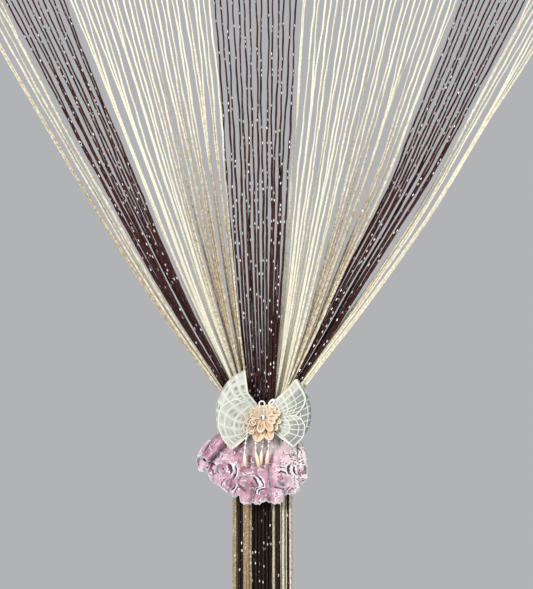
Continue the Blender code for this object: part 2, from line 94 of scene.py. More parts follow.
BOW_THICKNESS = 1.2 * MM
BOW_PINCH_HALF_HEIGHT = 9 * MM
BOW_PINCH_HALF_DEPTH = 2.4 * MM
BOW_Y = FRILL_Y - FRILL_THICKNESS / 2 - SEAT - BOW_THICKNESS / 2 - BOW_PINCH_HALF_DEPTH
BOW_BULGE_FRONT = 17 * MM
BOW_BULGE_BACK = 1 * MM
BOW_SWEEP = 8 * MM
BOW_BULGE_POWER = 1.7
BOW_SWEEP_POWER = 1.5
BOW_FLATTER_EDGE = 0.35

FLOWER_X = -5.0 * MM
FLOWER_Z = PINCH_Z + 1 * MM
PETAL_THICKNESS = 1.0 * MM
PETAL_HOLE = 2 * MM
BACK_PETALS_Y = BOW_Y - BOW_PINCH_HALF_DEPTH - BOW_THICKNESS / 2 - SEAT - PETAL_THICKNESS / 2
BACK_PETALS_SLOPE = 0.38
FRONT_PETALS_Y = BACK_PETALS_Y - PETAL_THICKNESS - SEAT
FRONT_PETALS_SLOPE = 0.5
GEM_RADIUS = 4.4 * MM
GEM_TABLE_RADIUS = 2.4 * MM
GEM_DEPTH = 2.6 * MM
GEM_Y = FRONT_PETALS_Y - 4.2 * MM
RING_RADIUS = 4.4 * MM
RING_WIRE = 0.9 * MM
RING_X = -7.2 * MM
RING_RISE = 22 * MM
SLANT_LOOP_X = 14.5 * MM
SLANT_LOOP_RISE = 24 * MM
SLANT_LOOP_RADIUS = 2.6 * MM
SLANT_LOOP_STRETCH = 2.0
SLANT_LOOP_LEAN = 40
SLANT_LOOP_FRONT = 7.6 * MM
THREAD_RADIUS = 0.6 * MM
BEAD_PITCH = 7.4 * MM
DROP_LENGTH = 24.5 * MM

# Colour groups from left to right: where each one's roots start and end along the heading, in mm
Group = namedtuple("Group", "name yarn count root_left root_right")
GROUPS = (
    Group("cream_outer_left", "cream", 7, -500.0, -437.0),
    Group("brown_left", "brown", 12, -437.0, -331.3),
    Group("cream_left", "cream", 27, -331.3, -89.5),
    Group("brown_middle", "brown", 15, -89.5, 53.6),
    Group("cream_right", "cream", 27, 53.6, 321.2),
    Group("brown_right", "brown", 12, 321.2, 432.6),
    Group("cream_outer_right", "cream", 8, 432.6, 500.0),
)

# How the strings lie in the tied bundle, in root order: columns from first to last in mm, rows left
# empty behind the lot, and how far in mm the lot moves sideways below the tie.
Lot = namedtuple("Lot", "group count columns first last behind shift")
LOTS = (
    Lot("cream_outer_left", 7, 2, -53.4, -49.6, 2, 0.0),
    Lot("brown_left", 12, 2, -45.4, -40.8, 1, 0.0),
    Lot("cream_left", 27, 4, -36.6, -25.2, 0, 0.0),
    Lot("brown_middle", 11, 6, -20.4, 4.2, 3, 0.0),
    Lot("brown_middle", 4, 2, 4.6, 8.4, 7, 11.2),
    Lot("cream_right", 7, 1, 11.0, 11.0, 0, 0.0),
    Lot("cream_right", 20, 3, 22.6, 30.2, 0, 0.0),
    Lot("brown_right", 12, 2, 34.2, 38.0, 1, 0.0),
    Lot("cream_outer_right", 8, 1, 44.1, 44.1, 0, 0.0),
)

# A string's way down to the tie: share of the drop, and share of its sideways offset still left
Station = namedtuple("Station", "drop offset")
STRING_PATH = (
    Station(0.21, 0.803),
    Station(0.48, 0.542),
    Station(0.75, 0.260),
    Station(0.91, 0.066),
    Station(0.965, 0.0),
)

# How tan each cream group's strings are, from 0 for cream to 1 for tan: at the heading, at the tie on the
# group's left and right side, where across the group these two meet, and below the tie. The tan is partly
# the yarn's own tone and partly painted shade, which grows down towards the crowded bundle at the tie.
Tone = namedtuple("Tone", "top tie_left tie_right meet below")
TONES = {
    "cream_outer_left": Tone(0.35, 0.60, 0.35, 0.50, 0.90),
    "cream_left": Tone(0.04, 0.08, 0.66, 0.44, 1.00),
    "cream_right": Tone(0.04, 0.16, 0.60, 0.52, 0.42),
    "cream_outer_right": Tone(0.15, 0.32, 0.24, 0.50, 0.40),
}

# Neighbouring strings that cling together, by group: their numbers in it, and the shares of the drop at
# which they start to lean together and then touch. They part again between the shares of CLUSTER_END.
Cluster = namedtuple("Cluster", "first last start touch")
CLUSTERS = {
    "cream_outer_left": (Cluster(0, 2, 0.00, 0.10), Cluster(5, 6, 0.00, 0.16)),
    "cream_left": (
        Cluster(0, 2, 0.06, 0.32),
        Cluster(3, 5, 0.10, 0.36),
        Cluster(7, 8, 0.00, 0.20),
        Cluster(9, 10, 0.38, 0.62),
        Cluster(11, 12, 0.45, 0.70),
        Cluster(16, 17, 0.20, 0.45),
        Cluster(21, 23, 0.10, 0.40),
    ),
    "cream_right": (
        Cluster(0, 1, 0.00, 0.06),
        Cluster(3, 4, 0.10, 0.30),
        Cluster(9, 10, 0.30, 0.55),
        Cluster(14, 15, 0.25, 0.50),
        Cluster(19, 21, 0.12, 0.32),
        Cluster(25, 26, 0.04, 0.22),
    ),
    "cream_outer_right": (Cluster(0, 1, 0.00, 0.12), Cluster(4, 7, 0.10, 0.40)),
}
CLUSTER_PITCH = 1.4 * MM
CLUSTER_DEPTH = 1.5 * MM
CLUSTER_END = (0.84, 0.95)

# Shares of the drop to the tie between which strings move aside, and between which they come back; the
# last pair of BELOW_TIE lies past the strings' ends
AT_TIE = (0.10, 0.80, 1.03, 1.13)
BELOW_TIE = (1.03, 1.13, 8.0, 9.0)
RIGHT_FAN = (0.40, 0.74, 0.90, 0.98)
RIGHT_EDGE = (0.48, 0.88, 0.90, 0.98)

# Strings that lie beside the frame's own lines, by group: their numbers in it, how far aside the first
# and the last one lie in mm, how far towards the back in mm, and where
Aside = namedtuple("Aside", "first last first_by last_by back where")
ASIDES = {
    "cream_outer_left": (Aside(0, 6, 1.4, 2.2, 0.0, BELOW_TIE),),
    "brown_left": (Aside(0, 11, 2.2, 1.9, 0.0, BELOW_TIE),),
    "cream_left": (Aside(18, 26, -0.5, -4.0, 0.0, AT_TIE), Aside(0, 26, 1.9, -1.9, 0.0, BELOW_TIE)),
    "brown_middle": (
        Aside(0, 10, -9.5, -0.5, 0.0, AT_TIE),
        Aside(0, 10, -1.9, 2.0, 0.0, BELOW_TIE),
        Aside(11, 14, -0.2, -2.0, 0.0, BELOW_TIE),
    ),
    "cream_right": (
        Aside(7, 13, -8.0, -2.0, 0.0, AT_TIE),
        Aside(14, 26, -3.0, -12.0, 0.0, RIGHT_FAN),
        Aside(0, 6, -0.8, 1.2, 0.0, BELOW_TIE),
        Aside(7, 26, -1.2, 0.2, 0.0, BELOW_TIE),
    ),
    "brown_right": (
        Aside(0, 11, -17.0, -15.0, 1.4, RIGHT_FAN),
        Aside(6, 11, -1.2, -1.2, 0.0, BELOW_TIE),
    ),
    "cream_outer_right": (
        Aside(0, 3, -21.0, -17.0, -6.0, RIGHT_EDGE),
        Aside(4, 7, -15.0, -11.0, 0.0, RIGHT_EDGE),
        Aside(0, 6, -4.6, -4.8, 0.0, BELOW_TIE),
        Aside(7, 7, -6.4, -6.4, 0.0, BELOW_TIE),
    ),
}

# The bow's outer folds, from bottom tip to top tip: place across the ribbon, reach and rise in mm
Fold = namedtuple("Fold", "across reach rise")
LEFT_FOLD = (
    Fold(-1.0, 48.8, -50.4),
    Fold(-0.7, 62.4, -33.6),
    Fold(-0.35, 72.0, -11.2),
    Fold(0.0, 73.6, 12.8),
    Fold(0.4, 64.8, 41.6),
    Fold(0.7, 48.8, 64.0),
    Fold(1.0, 29.0, 75.0),
)
RIGHT_FOLD = (
    Fold(-1.0, 50.4, -47.2),
    Fold(-0.7, 64.8, -29.6),
    Fold(-0.35, 75.2, -11.2),
    Fold(0.0, 77.6, 8.0),
    Fold(0.4, 74.4, 30.4),
    Fold(0.7, 66.4, 46.4),
    Fold(1.0, 56.0, 61.0),
)
LEFT_HOLLOW = 1.0
RIGHT_HOLLOW = 0.08

# The two wings of the bow's ribbon: side of the pinch, outer fold, hollow of the top edge, and how
# far the front layer's threads sag between the pinch and the fold
Wing = namedtuple("Wing", "side fold hollow sag")
RIGHT_WING = Wing(1, RIGHT_FOLD, RIGHT_HOLLOW, 6 * MM)
LEFT_WING = Wing(-1, LEFT_FOLD, LEFT_HOLLOW, 13 * MM)

# Puffed lobes of gauze on the front of the wings: side of the pinch, outer edge from its bottom end
# to its top end, sag and number of its threads, and how far painted shade darkens its panes near the edge
Lobe = namedtuple("Lobe", "side edge sag lines thin")
LEFT_LOBE = (
    Fold(-1.0, 49.0, -50.0),
    Fold(-0.6, 63.0, -31.0),
    Fold(-0.2, 70.0, -8.0),
    Fold(0.2, 67.0, 13.0),
    Fold(0.6, 52.0, 26.0),
    Fold(1.0, 27.0, 33.0),
)
UPPER_RIGHT_LOBE = (
    Fold(-1.0, 52.6, 4.2),
    Fold(-0.6, 61.0, 13.0),
    Fold(-0.3, 66.4, 21.4),
    Fold(0.0, 68.3, 30.2),
    Fold(0.3, 65.6, 39.0),
    Fold(0.63, 60.0, 49.4),
    Fold(1.0, 53.0, 61.0),
)
LOWER_RIGHT_LOBE = (
    Fold(-1.0, 49.0, -46.0),
    Fold(-0.5, 65.0, -27.0),
    Fold(0.0, 67.0, -14.0),
    Fold(0.5, 62.0, -2.5),
    Fold(1.0, 52.3, 3.8),
)
LOBES = (
    Lobe(-1, LEFT_LOBE, 14 * MM, 6, 0.20),
    Lobe(1, UPPER_RIGHT_LOBE, 4 * MM, 7, 0.9),
    Lobe(1, LOWER_RIGHT_LOBE, 6 * MM, 6, 0.95),
)
LOBE_LIFT = 1.3 * MM
LOBE_PUFF = 3.5 * MM
LOBE_FOOT = 0.12
WING_REACH = 75 * MM

# How a wing's hollow top edge rises: its slope from the pinch on, and from where it climbs to the tip
HOLLOW_SLOPE = 0.61
HOLLOW_END = 0.80

# Half width and half thickness of the gauze's cords, inside the cloth, along a ribbon's edges and
# round a lobe
CORD = (0.7 * MM, 0.4 * MM)
EDGE_CORD = (1.4 * MM, 0.9 * MM)
RIM_CORD = (1.2 * MM, 0.9 * MM)

# The frill's hem from its rolled left edge to its right edge: out, down and forward in mm
Hem = namedtuple("Hem", "out down forward")
FRILL_HEM = (
    Hem(-93.0, 60.0, 13.0),
    Hem(-104.0, 64.0, 6.0),
    Hem(-102.4, 77.0, -2.0),
    Hem(-98.4, 85.0, 0.0),
    Hem(-88.3, 82.6, -2.0),
    Hem(-84.8, 91.4, 6.0),
    Hem(-78.4, 101.0, 8.0),
    Hem(-68.8, 107.0, 1.0),
    Hem(-61.6, 113.0, 6.0),
    Hem(-55.2, 117.0, 8.0),
    Hem(-50.4, 123.0, 1.0),
    Hem(-42.4, 125.4, -3.0),
    Hem(-36.8, 122.0, 0.0),
    Hem(-33.6, 133.4, 8.0),
    Hem(-23.2, 135.0, 11.0),
    Hem(-15.2, 134.0, 4.0),
    Hem(-7.2, 137.0, 1.0),
    Hem(0.0, 132.6, 8.0),
    Hem(5.6, 130.6, 9.0),
    Hem(13.6, 134.0, 2.0),
    Hem(21.6, 135.6, 3.0),
    Hem(31.2, 131.8, 10.0),
    Hem(35.2, 122.2, 2.0),
    Hem(44.0, 120.6, -1.0),
    Hem(52.0, 118.2, 9.0),
    Hem(59.2, 113.0, 4.0),
    Hem(62.4, 106.0, -1.0),
    Hem(69.6, 97.0, 6.0),
    Hem(71.7, 87.0, 5.0),
    Hem(68.0, 72.0, -2.0),
)

# Notches between the sheer cloth and the print at the frill's top: place from -1 at the left edge to 1
# at the right one, half width in the same measure, and depth as a share of the frill's
Notch = namedtuple("Notch", "place width depth")
FRILL_NOTCHES = (Notch(-0.46, 0.085, 0.40), Notch(0.64, 0.070, 0.42))

# Swirled puffs of the ruffle: middle, radius and how far each one stands forward, in mm
Puff = namedtuple("Puff", "x z radius forward")
PUFFS = (
    Puff(-69.6, -863.8, 24.0, 6.0),
    Puff(-22.0, -888.0, 21.0, 5.0),
    Puff(21.6, -878.0, 22.0, 6.0),
    Puff(54.0, -862.0, 15.0, 3.0),
)

# Swirls of the ruffle's print: middle and size in mm, the way each one faces in degrees, and its hand
Swirl = namedtuple("Swirl", "x z size facing hand")
SWIRLS = (
    Swirl(-92, -860, 12, 60, -1),
    Swirl(-70, -864, 18, 0, 1),
    Swirl(-78, -840, 9, 150, -1),
    Swirl(-58, -888, 12, -30, -1),
    Swirl(-26, -888, 15, 30, 1),
    Swirl(-4, -904, 11, 130, -1),
    Swirl(24, -880, 16, 80, 1),
    Swirl(42, -900, 10, -50, -1),
    Swirl(54, -864, 15, 190, 1),
    Swirl(46, -838, 9, 20, -1),
)

# The arcs that make up a swirl: radius and half width as shares of its size, place round it and half
# sweep in degrees, and ink; a radius of 0 makes a drop-shaped spot
Arc = namedtuple("Arc", "radius turn sweep width ink")
SWIRL_ARCS = (
    Arc(1.00, 0, 55, 0.14, "white"),
    Arc(0.76, 4, 48, 0.12, "dark"),
    Arc(1.26, -10, 42, 0.07, "dark"),
    Arc(1.42, -12, 36, 0.06, "white"),
    Arc(0.52, 170, 70, 0.13, "grey"),
    Arc(0.36, 80, 80, 0.12, "rose"),
    Arc(0.98, 175, 45, 0.10, "maroon"),
    Arc(1.22, 120, 30, 0.11, "grey"),
    Arc(0.00, 30, 180, 0.15, "dark"),
)
INKS = {
    "white": (0.76, 0.74, 0.75),
    "pale": (0.72, 0.55, 0.61),
    "rose": (0.46, 0.20, 0.28),
    "maroon": (0.16, 0.05, 0.08),
    "grey": (0.20, 0.18, 0.20),
    "dark": (0.035, 0.012, 0.020),
}

# Middle line of the ruffle's rolled-up left edge, from the bow out to its open end, in mm
RollStep = namedtuple("RollStep", "along x y z radius")
ROLL_PATH = (
    RollStep(0.0, -60.0, -26.0, -809.0, 6.0),
    RollStep(0.4, -76.0, -29.5, -824.0, 7.2),
    RollStep(0.75, -91.0, -34.0, -839.0, 7.6),
    RollStep(1.0, -98.5, -42.0, -848.0, 7.4),
)
ROLL_TURNS = 1.8
ROLL_CLOTH = 60 * MM

# Petals around the gem: direction anticlockwise from the right in degrees, reach, half width, cup depth
# and rim radius in mm, and paleness from 0 to 1
Petal = namedtuple("Petal", "direction reach half_width cup rim pale")
BACK_PETALS = (
    Petal(16, 28, 5.6, 3.4, 0.7, 0.60),
    Petal(40, 25, 6.4, 1.6, 0.3, 0.80),
    Petal(66, 21, 7.0, 1.2, 0.2, 0.85),
    Petal(96, 19, 7.2, 1.0, 0.2, 0.75),
    Petal(126, 21, 7.0, 1.2, 0.2, 0.80),
    Petal(150, 25, 6.4, 1.8, 0.3, 0.70),
    Petal(175, 30, 5.6, 3.0, 0.7, 0.70),
    Petal(198, 29, 5.8, 3.4, 0.7, 0.45),
    Petal(223, 34, 7.2, 4.2, 0.9, 0.30),
    Petal(254, 39, 9.2, 4.4, 0.9, 0.30),
    Petal(288, 37, 8.4, 4.2, 0.9, 0.30),
    Petal(320, 29, 6.2, 3.8, 0.8, 0.30),
    Petal(346, 29, 5.4, 3.2, 0.8, 0.45),
)
FRONT_PETALS = (
    Petal(2, 22, 4.2, 3.4, 1.0, 0.60),
    Petal(34, 17, 4.6, 2.0, 0.6, 0.70),
    Petal(72, 13, 5.4, 1.2, 0.2, 0.80),
    Petal(112, 13, 5.4, 1.2, 0.2, 0.75),
    Petal(146, 17, 4.8, 2.0, 0.5, 0.65),
    Petal(172, 21, 4.4, 3.0, 0.8, 0.65),
    Petal(206, 20, 5.2, 3.4, 0.8, 0.45),
    Petal(257, 23.5, 5.6, 5.0, 1.35, 0.45),
    Petal(303, 24.5, 5.4, 4.8, 1.3, 0.40),
    Petal(336, 20, 4.4, 3.8, 1.0, 0.45),
)

# Bead threads under the flower: top place in mm from the pinch, slant in degrees, bare thread above
# the beads in mm, beads, and how far in degrees the drop swings from the thread
Pendant = namedtuple("Pendant", "x top slant bare beads swing")
PENDANTS = (
    Pendant(-24.0, -17.5, -7.0, 6.0, 4, 9.0),
    Pendant(-11.2, -31.5, 1.0, 6.5, 2, 11.0),
    Pendant(3.0, -23.5, -8.0, 5.5, 3, 2.0),
    Pendant(11.2, -26.0, -4.5, 9.0, 2, -2.0),
)

# Outline of a drop: how far down its length and how wide, as shares of its length and widest radius
Turned = namedtuple("Turned", "down width")
DROP_OUTLINE = (
    Turned(0.0, 0.16),
    Turned(0.05, 0.34),
    Turned(0.12, 0.50),
    Turned(0.40, 0.86),
    Turned(0.68, 1.00),
    Turned(0.90, 0.80),
    Turned(0.97, 0.45),
    Turned(1.0, 0.03),
)

# Rolled curls of satin between the petals: middle and outer radius in mm, turns, where the outer end
# lies in degrees, and paleness from 0 to 1
Curl = namedtuple("Curl", "x z radius turns end pale")
CURLS = (
    Curl(-16.4, -8.4, 6.3, 1.6, 60, 0.50),
    Curl(-18.5, -23.0, 3.6, 1.2, 200, 0.45),
)
CURL_HEIGHT = 4.2 * MM
CURL_RIM = 0.85 * MM

# Rings of the stone's corners from its table to its back: radius, distance in front of the stone's
# middle, and turn as a share of a side
StoneRing = namedtuple("StoneRing", "radius forward turn")
STONE_SIDES = 12
STONE_RINGS = (
    StoneRing(GEM_TABLE_RADIUS * 0.85, GEM_DEPTH / 2, 0.0),
    StoneRing(GEM_TABLE_RADIUS * 1.25, GEM_DEPTH * 0.30, 0.5),
    StoneRing(GEM_RADIUS * 0.92, -GEM_DEPTH * 0.12, 0.0),
    StoneRing(GEM_RADIUS * 0.88, -GEM_DEPTH / 2, 0.0),
)

# A claw from its foot to its tip: distance from the stone's middle as a share of its radius, distance in
# front of it as a share of its depth, and half thickness in mm
ClawStep = namedtuple("ClawStep", "out forward thick")
CLAW = (
    ClawStep(1.00, -0.25, 0.45),
    ClawStep(1.00, 0.05, 0.45),
    ClawStep(0.92, 0.25, 0.40),
    ClawStep(0.78, 0.34, 0.25),
)

# The yarns' colours; the _SHADE ones are painted shade in the grooves between a braid's stitches, and
# BROWN_DARK is painted shade where the brown strings crowd together towards the tie
CREAM = (0.87, 0.855, 0.745)
CREAM_SHADE = (0.70, 0.65, 0.46)
TAN = (0.378, 0.266, 0.139)
TAN_SHADE = (0.23, 0.15, 0.07)
TAN_MOTTLE = (0.17, 0.105, 0.05)
BROWN = (0.020, 0.006, 0.005)
BROWN_LIGHT = (0.065, 0.014, 0.010)
BROWN_DARK = (0.008, 0.003, 0.002)
SILVER = (0.76, 0.74, 0.71)

# Sizes of what is modelled here only. YARN_WIDENING is the share by which a yarn's tapes are wider at
# the tie than at the heading. The covers say how far from see-through the gauze is, from 0 to 1.
YARN_WIDTHS = {"cream": 3.4 * MM, "brown": 3.0 * MM}
YARN_WIDENING = {"cream": 0.0, "brown": 0.34}
STRING_STEP = 6.5 * MM
STRING_SECTION = ((-1.0, 0.0), (-0.72, -0.9), (0.72, -0.9), (1.0, 0.0), (0.72, 0.9), (-0.72, 0.9))
STRING_SWAY = 0.45 * MM
STRING_WANDER = 1.1 * MM
STRING_ROLL = 46
TAPE_SWELL = 0.07
STITCH_PITCH = 4.2 * MM
GAUZE_PITCH = 12.5 * MM
GAUZE_LINES = 11
GAUZE_ROW = 2.5 * MM
GAUZE_COLUMNS = 81
PLEAT_DEPTH = 2.1 * MM
WING_COVER = 0.72
LOBE_COVER = 0.74
CLOTH_THICKNESS = 0.5 * MM
THREAD_PITCH = 0.9 * MM
BRAID_PITCH = 2.4 * MM
SILVER_CELL = 9 * MM
SILVER_LENGTH = 4.4 * MM
PRINT_WAVER = 1.1 * MM
PETAL_CREASE = 0.45 * MM
# Painted shade along a petal's creases, as a share of the hollow value
PETAL_CREASE_SHADE = 0.3
PETAL_STAGGER = 0.7 * MM
RIM_SIDES = 6
LOOP_TWIST = 0.55 * MM
LOOP_TURNS = 14
RING_PLY = 0.80 * MM
SLANT_PLY = 1.35 * MM
PEARL_THREAD = 0.55 * MM
PEARL_RADIUS = 1.9 * MM
PEARL_DROP_RADIUS = 3.2 * MM
FRILL_DEPTH = 118 * MM
FRILL_LEFT_DROOP = 0.1
FRILL_COLUMNS = 229
FRILL_ROWS = 43

# Gathered cloth: the gauze's share of a full rectangle
GAUZE_WAIST = 0.8

# The photograph's height in pixels, a pixel's size on the object, and where the photograph starts there
PHOTO_HEIGHT = 589
PIXEL = 1.6 * MM
PHOTO_TOP_Z = -0.115
CAMERA_DISTANCE = 4.0
FLOOR_Z = -2.05


def uneven(number, seed=0.0):
    """The fixed uneven value from -1 to 1 that the solids were made with."""
    wave = math.sin(number * 2.399 + seed) + math.sin(number * 5.13 + 1.7 * seed + 0.6)
    return wave / 2


def smooth_through(knots, values, at):
    """Values on a smooth line through the knots that never overshoots them."""
    gaps = np.diff(knots)
    slopes = np.diff(values, axis=0) / gaps[:, None]
    bends = np.zeros_like(values)
    before, after = slopes[:-1], slopes[1:]
    same_way = before * after > 0
    bends[1:-1] = np.where(same_way, 2 * before * after / np.where(same_way, before + after, 1), 0)
    bends[0], bends[-1] = slopes[0], slopes[-1]
    place = np.clip(np.searchsorted(knots, at, side="right") - 1, 0, len(gaps) - 1)
    gap = gaps[place][:, None]
    t = (at[:, None] - knots[place][:, None]) / gap
    start = (2 * t**3 - 3 * t**2 + 1) * values[place] + (t**3 - 2 * t**2 + t) * gap * bends[place]
    end = (3 * t**2 - 2 * t**3) * values[place + 1] + (t**3 - t**2) * gap * bends[place + 1]
    return start + end


def table_curve(rows, at, scale):
    """Smooth values of a table whose first column is the key, for the wanted keys."""
    table = np.array(rows, dtype=float)
    return smooth_through(table[:, 0], table[:, 1:] * scale, at)


def smoothstep(low, high, value):
    t = np.clip((value - low) / (high - low), 0, 1)
    return t * t * (3 - 2 * t)


def made_piece(name, points, faces, look, slot, **attributes):
    """A mesh piece on the frame's one body, with its named values for each point."""
    mesh = bpy.data.meshes.new(name)
    mesh.from_pydata(np.asarray(points).tolist(), [], faces)
    for key, values in attributes.items():
        values = np.asarray(values, dtype=np.float32)
        kind, field = ("FLOAT_VECTOR", "vector") if values.ndim == 2 else ("FLOAT", "value")
        mesh.attributes.new(key, kind, "POINT").data.foreach_set(field, values.ravel())
    mesh.shade_smooth()
    mesh.materials.append(look)
    piece = bpy.data.objects.new(name, mesh)
    bpy.context.scene.collection.objects.link(piece)
    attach(piece, "root")
    return piece


def stacked(*parts):
    """Points or places from their parts, each part spread over the whole grid."""
    return np.stack(np.broadcast_arrays(*parts), -1)


def unit(vectors):
    return vectors / np.linalg.norm(vectors, axis=-1, keepdims=True)


def lengths_along(line):
    steps = np.linalg.norm(np.diff(line, axis=0), axis=1)
    return np.concatenate(([0], np.cumsum(steps)))


def resampled(line, count):
    """The line with this number of points, an even distance apart."""
    lengths = lengths_along(line)
    at = np.linspace(0, lengths[-1], count)
    return np.column_stack([np.interp(at, lengths, part) for part in line.T])


def evenly_along(line, step):
    """The line with points about this distance apart."""
    line = np.asarray(line, dtype=float)
    return resampled(line, round(lengths_along(line)[-1] / step) + 1)


def leaned(x, z, angle):
    """Both parts of a place in the front view, turned clockwise by an angle."""
    return x * math.cos(angle) + z * math.sin(angle), z * math.cos(angle) - x * math.sin(angle)


def tube_faces(rings, sides, first):
    """Faces of a closed tube whose rings of points follow each other from the first point's number."""
    ring = np.arange(rings - 1)[:, None] * sides + first
    side = np.arange(sides)[None, :]
    after = (side + 1) % sides
    quads = np.stack((ring + side, ring + after, ring + sides + after, ring + sides + side), -1)
    last = first + (rings - 1) * sides
    ends = [list(range(first + sides - 1, first - 1, -1)), list(range(last, last + sides))]
    return quads.reshape(-1, 4).tolist() + ends


def grid_faces(rows, columns, first=0, closed=False):
    """Faces of a grid of points, row after row; a closed grid's last row joins its first."""
    row = np.arange(rows if closed else rows - 1)[:, None]
    column = np.arange(columns - 1)[None, :]
    here = row * columns + column
    after = (row + 1) % rows * columns + column
    quads = np.stack((here, here + 1, after + 1, after), -1) + first
    return quads.reshape(-1, 4).tolist()


def solidified(piece, thickness):
    thicken = piece.modifiers.new("thicken", "SOLIDIFY")
    thicken.thickness = thickness
    thicken.offset = 0.0
    thicken.use_even_offset = False


class Tubes:
    """Collects round or flat tubes along lines of points, to be made one mesh."""

    def __init__(self, section):
        self.section = np.array(section)
        self.points, self.values, self.faces = [], [], []
        self.count = 0

    def add(self, line, half_width, half_thickness, number=0.0, across=(1, 0, 0), roll=0.0):
        """One tube: sizes and roll are single numbers or one for each point of its line."""
        line = np.asarray(line, dtype=float)
        tangent = unit(np.gradient(line, axis=0))
        side = np.broadcast_to(np.array(across, dtype=float), line.shape)
        side = unit(side - (side * tangent).sum(1)[:, None] * tangent)
        front = np.cross(tangent, side)
        roll = np.broadcast_to(roll, len(line))[:, None]
        turned_side = np.cos(roll) * side + np.sin(roll) * front
        turned_front = np.cos(roll) * front - np.sin(roll) * side
        sizes = (half_width, half_thickness)
        wide, thick = (np.broadcast_to(size, len(line))[:, None, None] for size in sizes)
        u, v = (part[None, :, None] for part in self.section.T)
        ring = line[:, None] + u * wide * turned_side[:, None] + v * thick * turned_front[:, None]
        value = stacked(self.section[None, :, 0], lengths_along(line)[:, None], number)
        self.points.append(ring.reshape(-1, 3))
        self.values.append(value.reshape(-1, 3))
        self.faces += tube_faces(len(line), len(self.section), self.count)
        self.count += len(line) * len(self.section)

    def piece(self, name, look, slot, **attributes):
        points, run = np.concatenate(self.points), np.concatenate(self.values)
        return made_piece(name, points, self.faces, look, slot, run=run, **attributes)


def round_section(sides):
    angles = 2 * math.pi * np.arange(sides) / sides
    return list(zip(np.cos(angles), np.sin(angles)))


def as_operator(operation):
    """A method that makes a math node from a value and its other operand, if there is one."""
    return lambda value, *other: value.look.math(operation, value, *other)


class Value:
    """A shader value that takes part in arithmetic."""

    __add__ = as_operator("ADD")
    __sub__ = as_operator("SUBTRACT")
    __mul__ = as_operator("MULTIPLY")
    __truediv__ = as_operator("DIVIDE")
    __pow__ = as_operator("POWER")
    __abs__ = as_operator("ABSOLUTE")

    def __init__(self, look, socket):
        self.look, self.socket = look, socket

    def __rsub__(self, other):
        return self.look.math("SUBTRACT", other, self)


class Look:
    """A material's node tree, with short ways to add its nodes."""

    def __init__(self, name, **values):
        self.material = bpy.data.materials.new(name)
        self.material.use_nodes = True
        self.tree = self.material.node_tree
        self.shader = self.tree.nodes["Principled BSDF"]
        for key, value in values.items():
            self.shader.inputs[key.replace("_", " ").title()].default_value = value

    def feed(self, socket, value):
        """Links a value to a socket, or sets a number, a vector or a colour on it."""
        if isinstance(value, Value):
            self.tree.links.new(value.socket, socket)
        else:
            socket.default_value = (*value, 1) if socket.type == "RGBA" else value

    def node(self, kind, inputs=(), **settings):
        node = self.tree.nodes.new("ShaderNode" + kind)
        for key, value in settings.items():
            setattr(node, key, value)
        for place, value in enumerate(inputs):
            self.feed(node.inputs[place], value)
        return node

    def out(self, node, key=0):
        return Value(self, node.outputs[key])

    def math(self, operation, *values):
        return self.out(self.node("Math", values, operation=operation))

    def wave(self, value, length):
        """A sine wave of this length along a value."""
        return self.math("SINE", value * (2 * math.pi / length))

    def parts(self, vector):
        return [Value(self, part) for part in self.node("SeparateXYZ", [vector]).outputs]

    def values_of(self, attribute):
        """The three parts of a named value on the mesh."""
        return self.parts(self.out(self.node("Attribute", attribute_name=attribute), "Vector"))

    def value_of(self, attribute):
        return self.out(self.node("Attribute", attribute_name=attribute), "Fac")

    def place(self):
        return self.out(self.node("TexCoord"), "Object")

    def joined(self, x, y):
        """A place from its two parts, for patterns in one plane."""
        return self.out(self.node("CombineXYZ", [x, y]))

    def polar(self, place, middle):
        """The direction and distance of a place from a middle, in one plane."""
        local = self.out(self.node("VectorMath", [place, middle], operation="SUBTRACT"))
        x, y, _ = self.parts(local)
        length = self.node("VectorMath", [local], operation="LENGTH")
        return self.math("ARCTAN2", y, x), self.out(length, "Value")

    def noise(self, vector, scale, detail=2.0):
        node = self.node("TexNoise")
        self.feed(node.inputs["Vector"], vector)
        node.inputs["Scale"].default_value = scale
        node.inputs["Detail"].default_value = detail
        return self.out(node)

    def cloud(self, scale, detail=2.0):
        """Noise over the piece's own place."""
        return self.noise(self.place(), scale, detail)

    def between(self, value, low, high, new_low=0.0, new_high=1.0):
        """The value's place between low and high, eased and put between the new limits."""
        limits = (low, high, new_low, new_high)
        return self.out(self.node("MapRange", [value, *limits], interpolation_type="SMOOTHSTEP"))

    def mix(self, share, first, second):
        """A colour between two, whose sockets are a Mix node's inputs 6 and 7 and its output 2."""
        node = self.node("Mix", data_type="RGBA")
        for place, value in ((0, share), (6, first), (7, second)):
            self.feed(node.inputs[place], value)
        return self.out(node, 2)

    def bump(self, height, distance, strength=1.0):
        node = self.node("Bump")
        node.inputs["Strength"].default_value = strength
        node.inputs["Distance"].default_value = distance
        self.feed(node.inputs["Height"], height)
        self.drive("Normal", self.out(node))

    def colour(self, value):
        self.drive("Base Color", value)

    def drive(self, key, value):
        self.feed(self.shader.inputs[key], value)


def glints(look, chance):
    """1 on short silver dashes strewn along a tape, 0 elsewhere."""
    across, along, number = look.values_of("run")
    cells = along / SILVER_CELL
    draws = look.node("TexWhiteNoise", noise_dimensions="2D")
    look.feed(draws.inputs["Vector"], look.joined(look.math("FLOOR", cells), number * 91.7))
    middle, side, drawn = look.parts(look.out(draws, "Color"))
    far = abs(look.math("FRACT", cells) - look.between(middle, 0.0, 1.0, 0.25, 0.75))
    far = far * (2 * SILVER_CELL / SILVER_LENGTH)
    aside = abs(across - look.between(side, 0.0, 1.0, -0.5, 0.5)) * 2.2
    dash = look.math("LESS_THAN", far**2.0 + aside**2.0, 1.0)
    return dash * look.math("LESS_THAN", drawn, chance)


def braid(look):
    """The height of a flat braid's slanting stitches, from 0 to 1."""
    across, along, _ = look.values_of("run")
    phase = along * (2 * math.pi / BRAID_PITCH) + abs(across) * 0.9
    return look.between(look.math("SINE", phase), -1.0, 1.0)


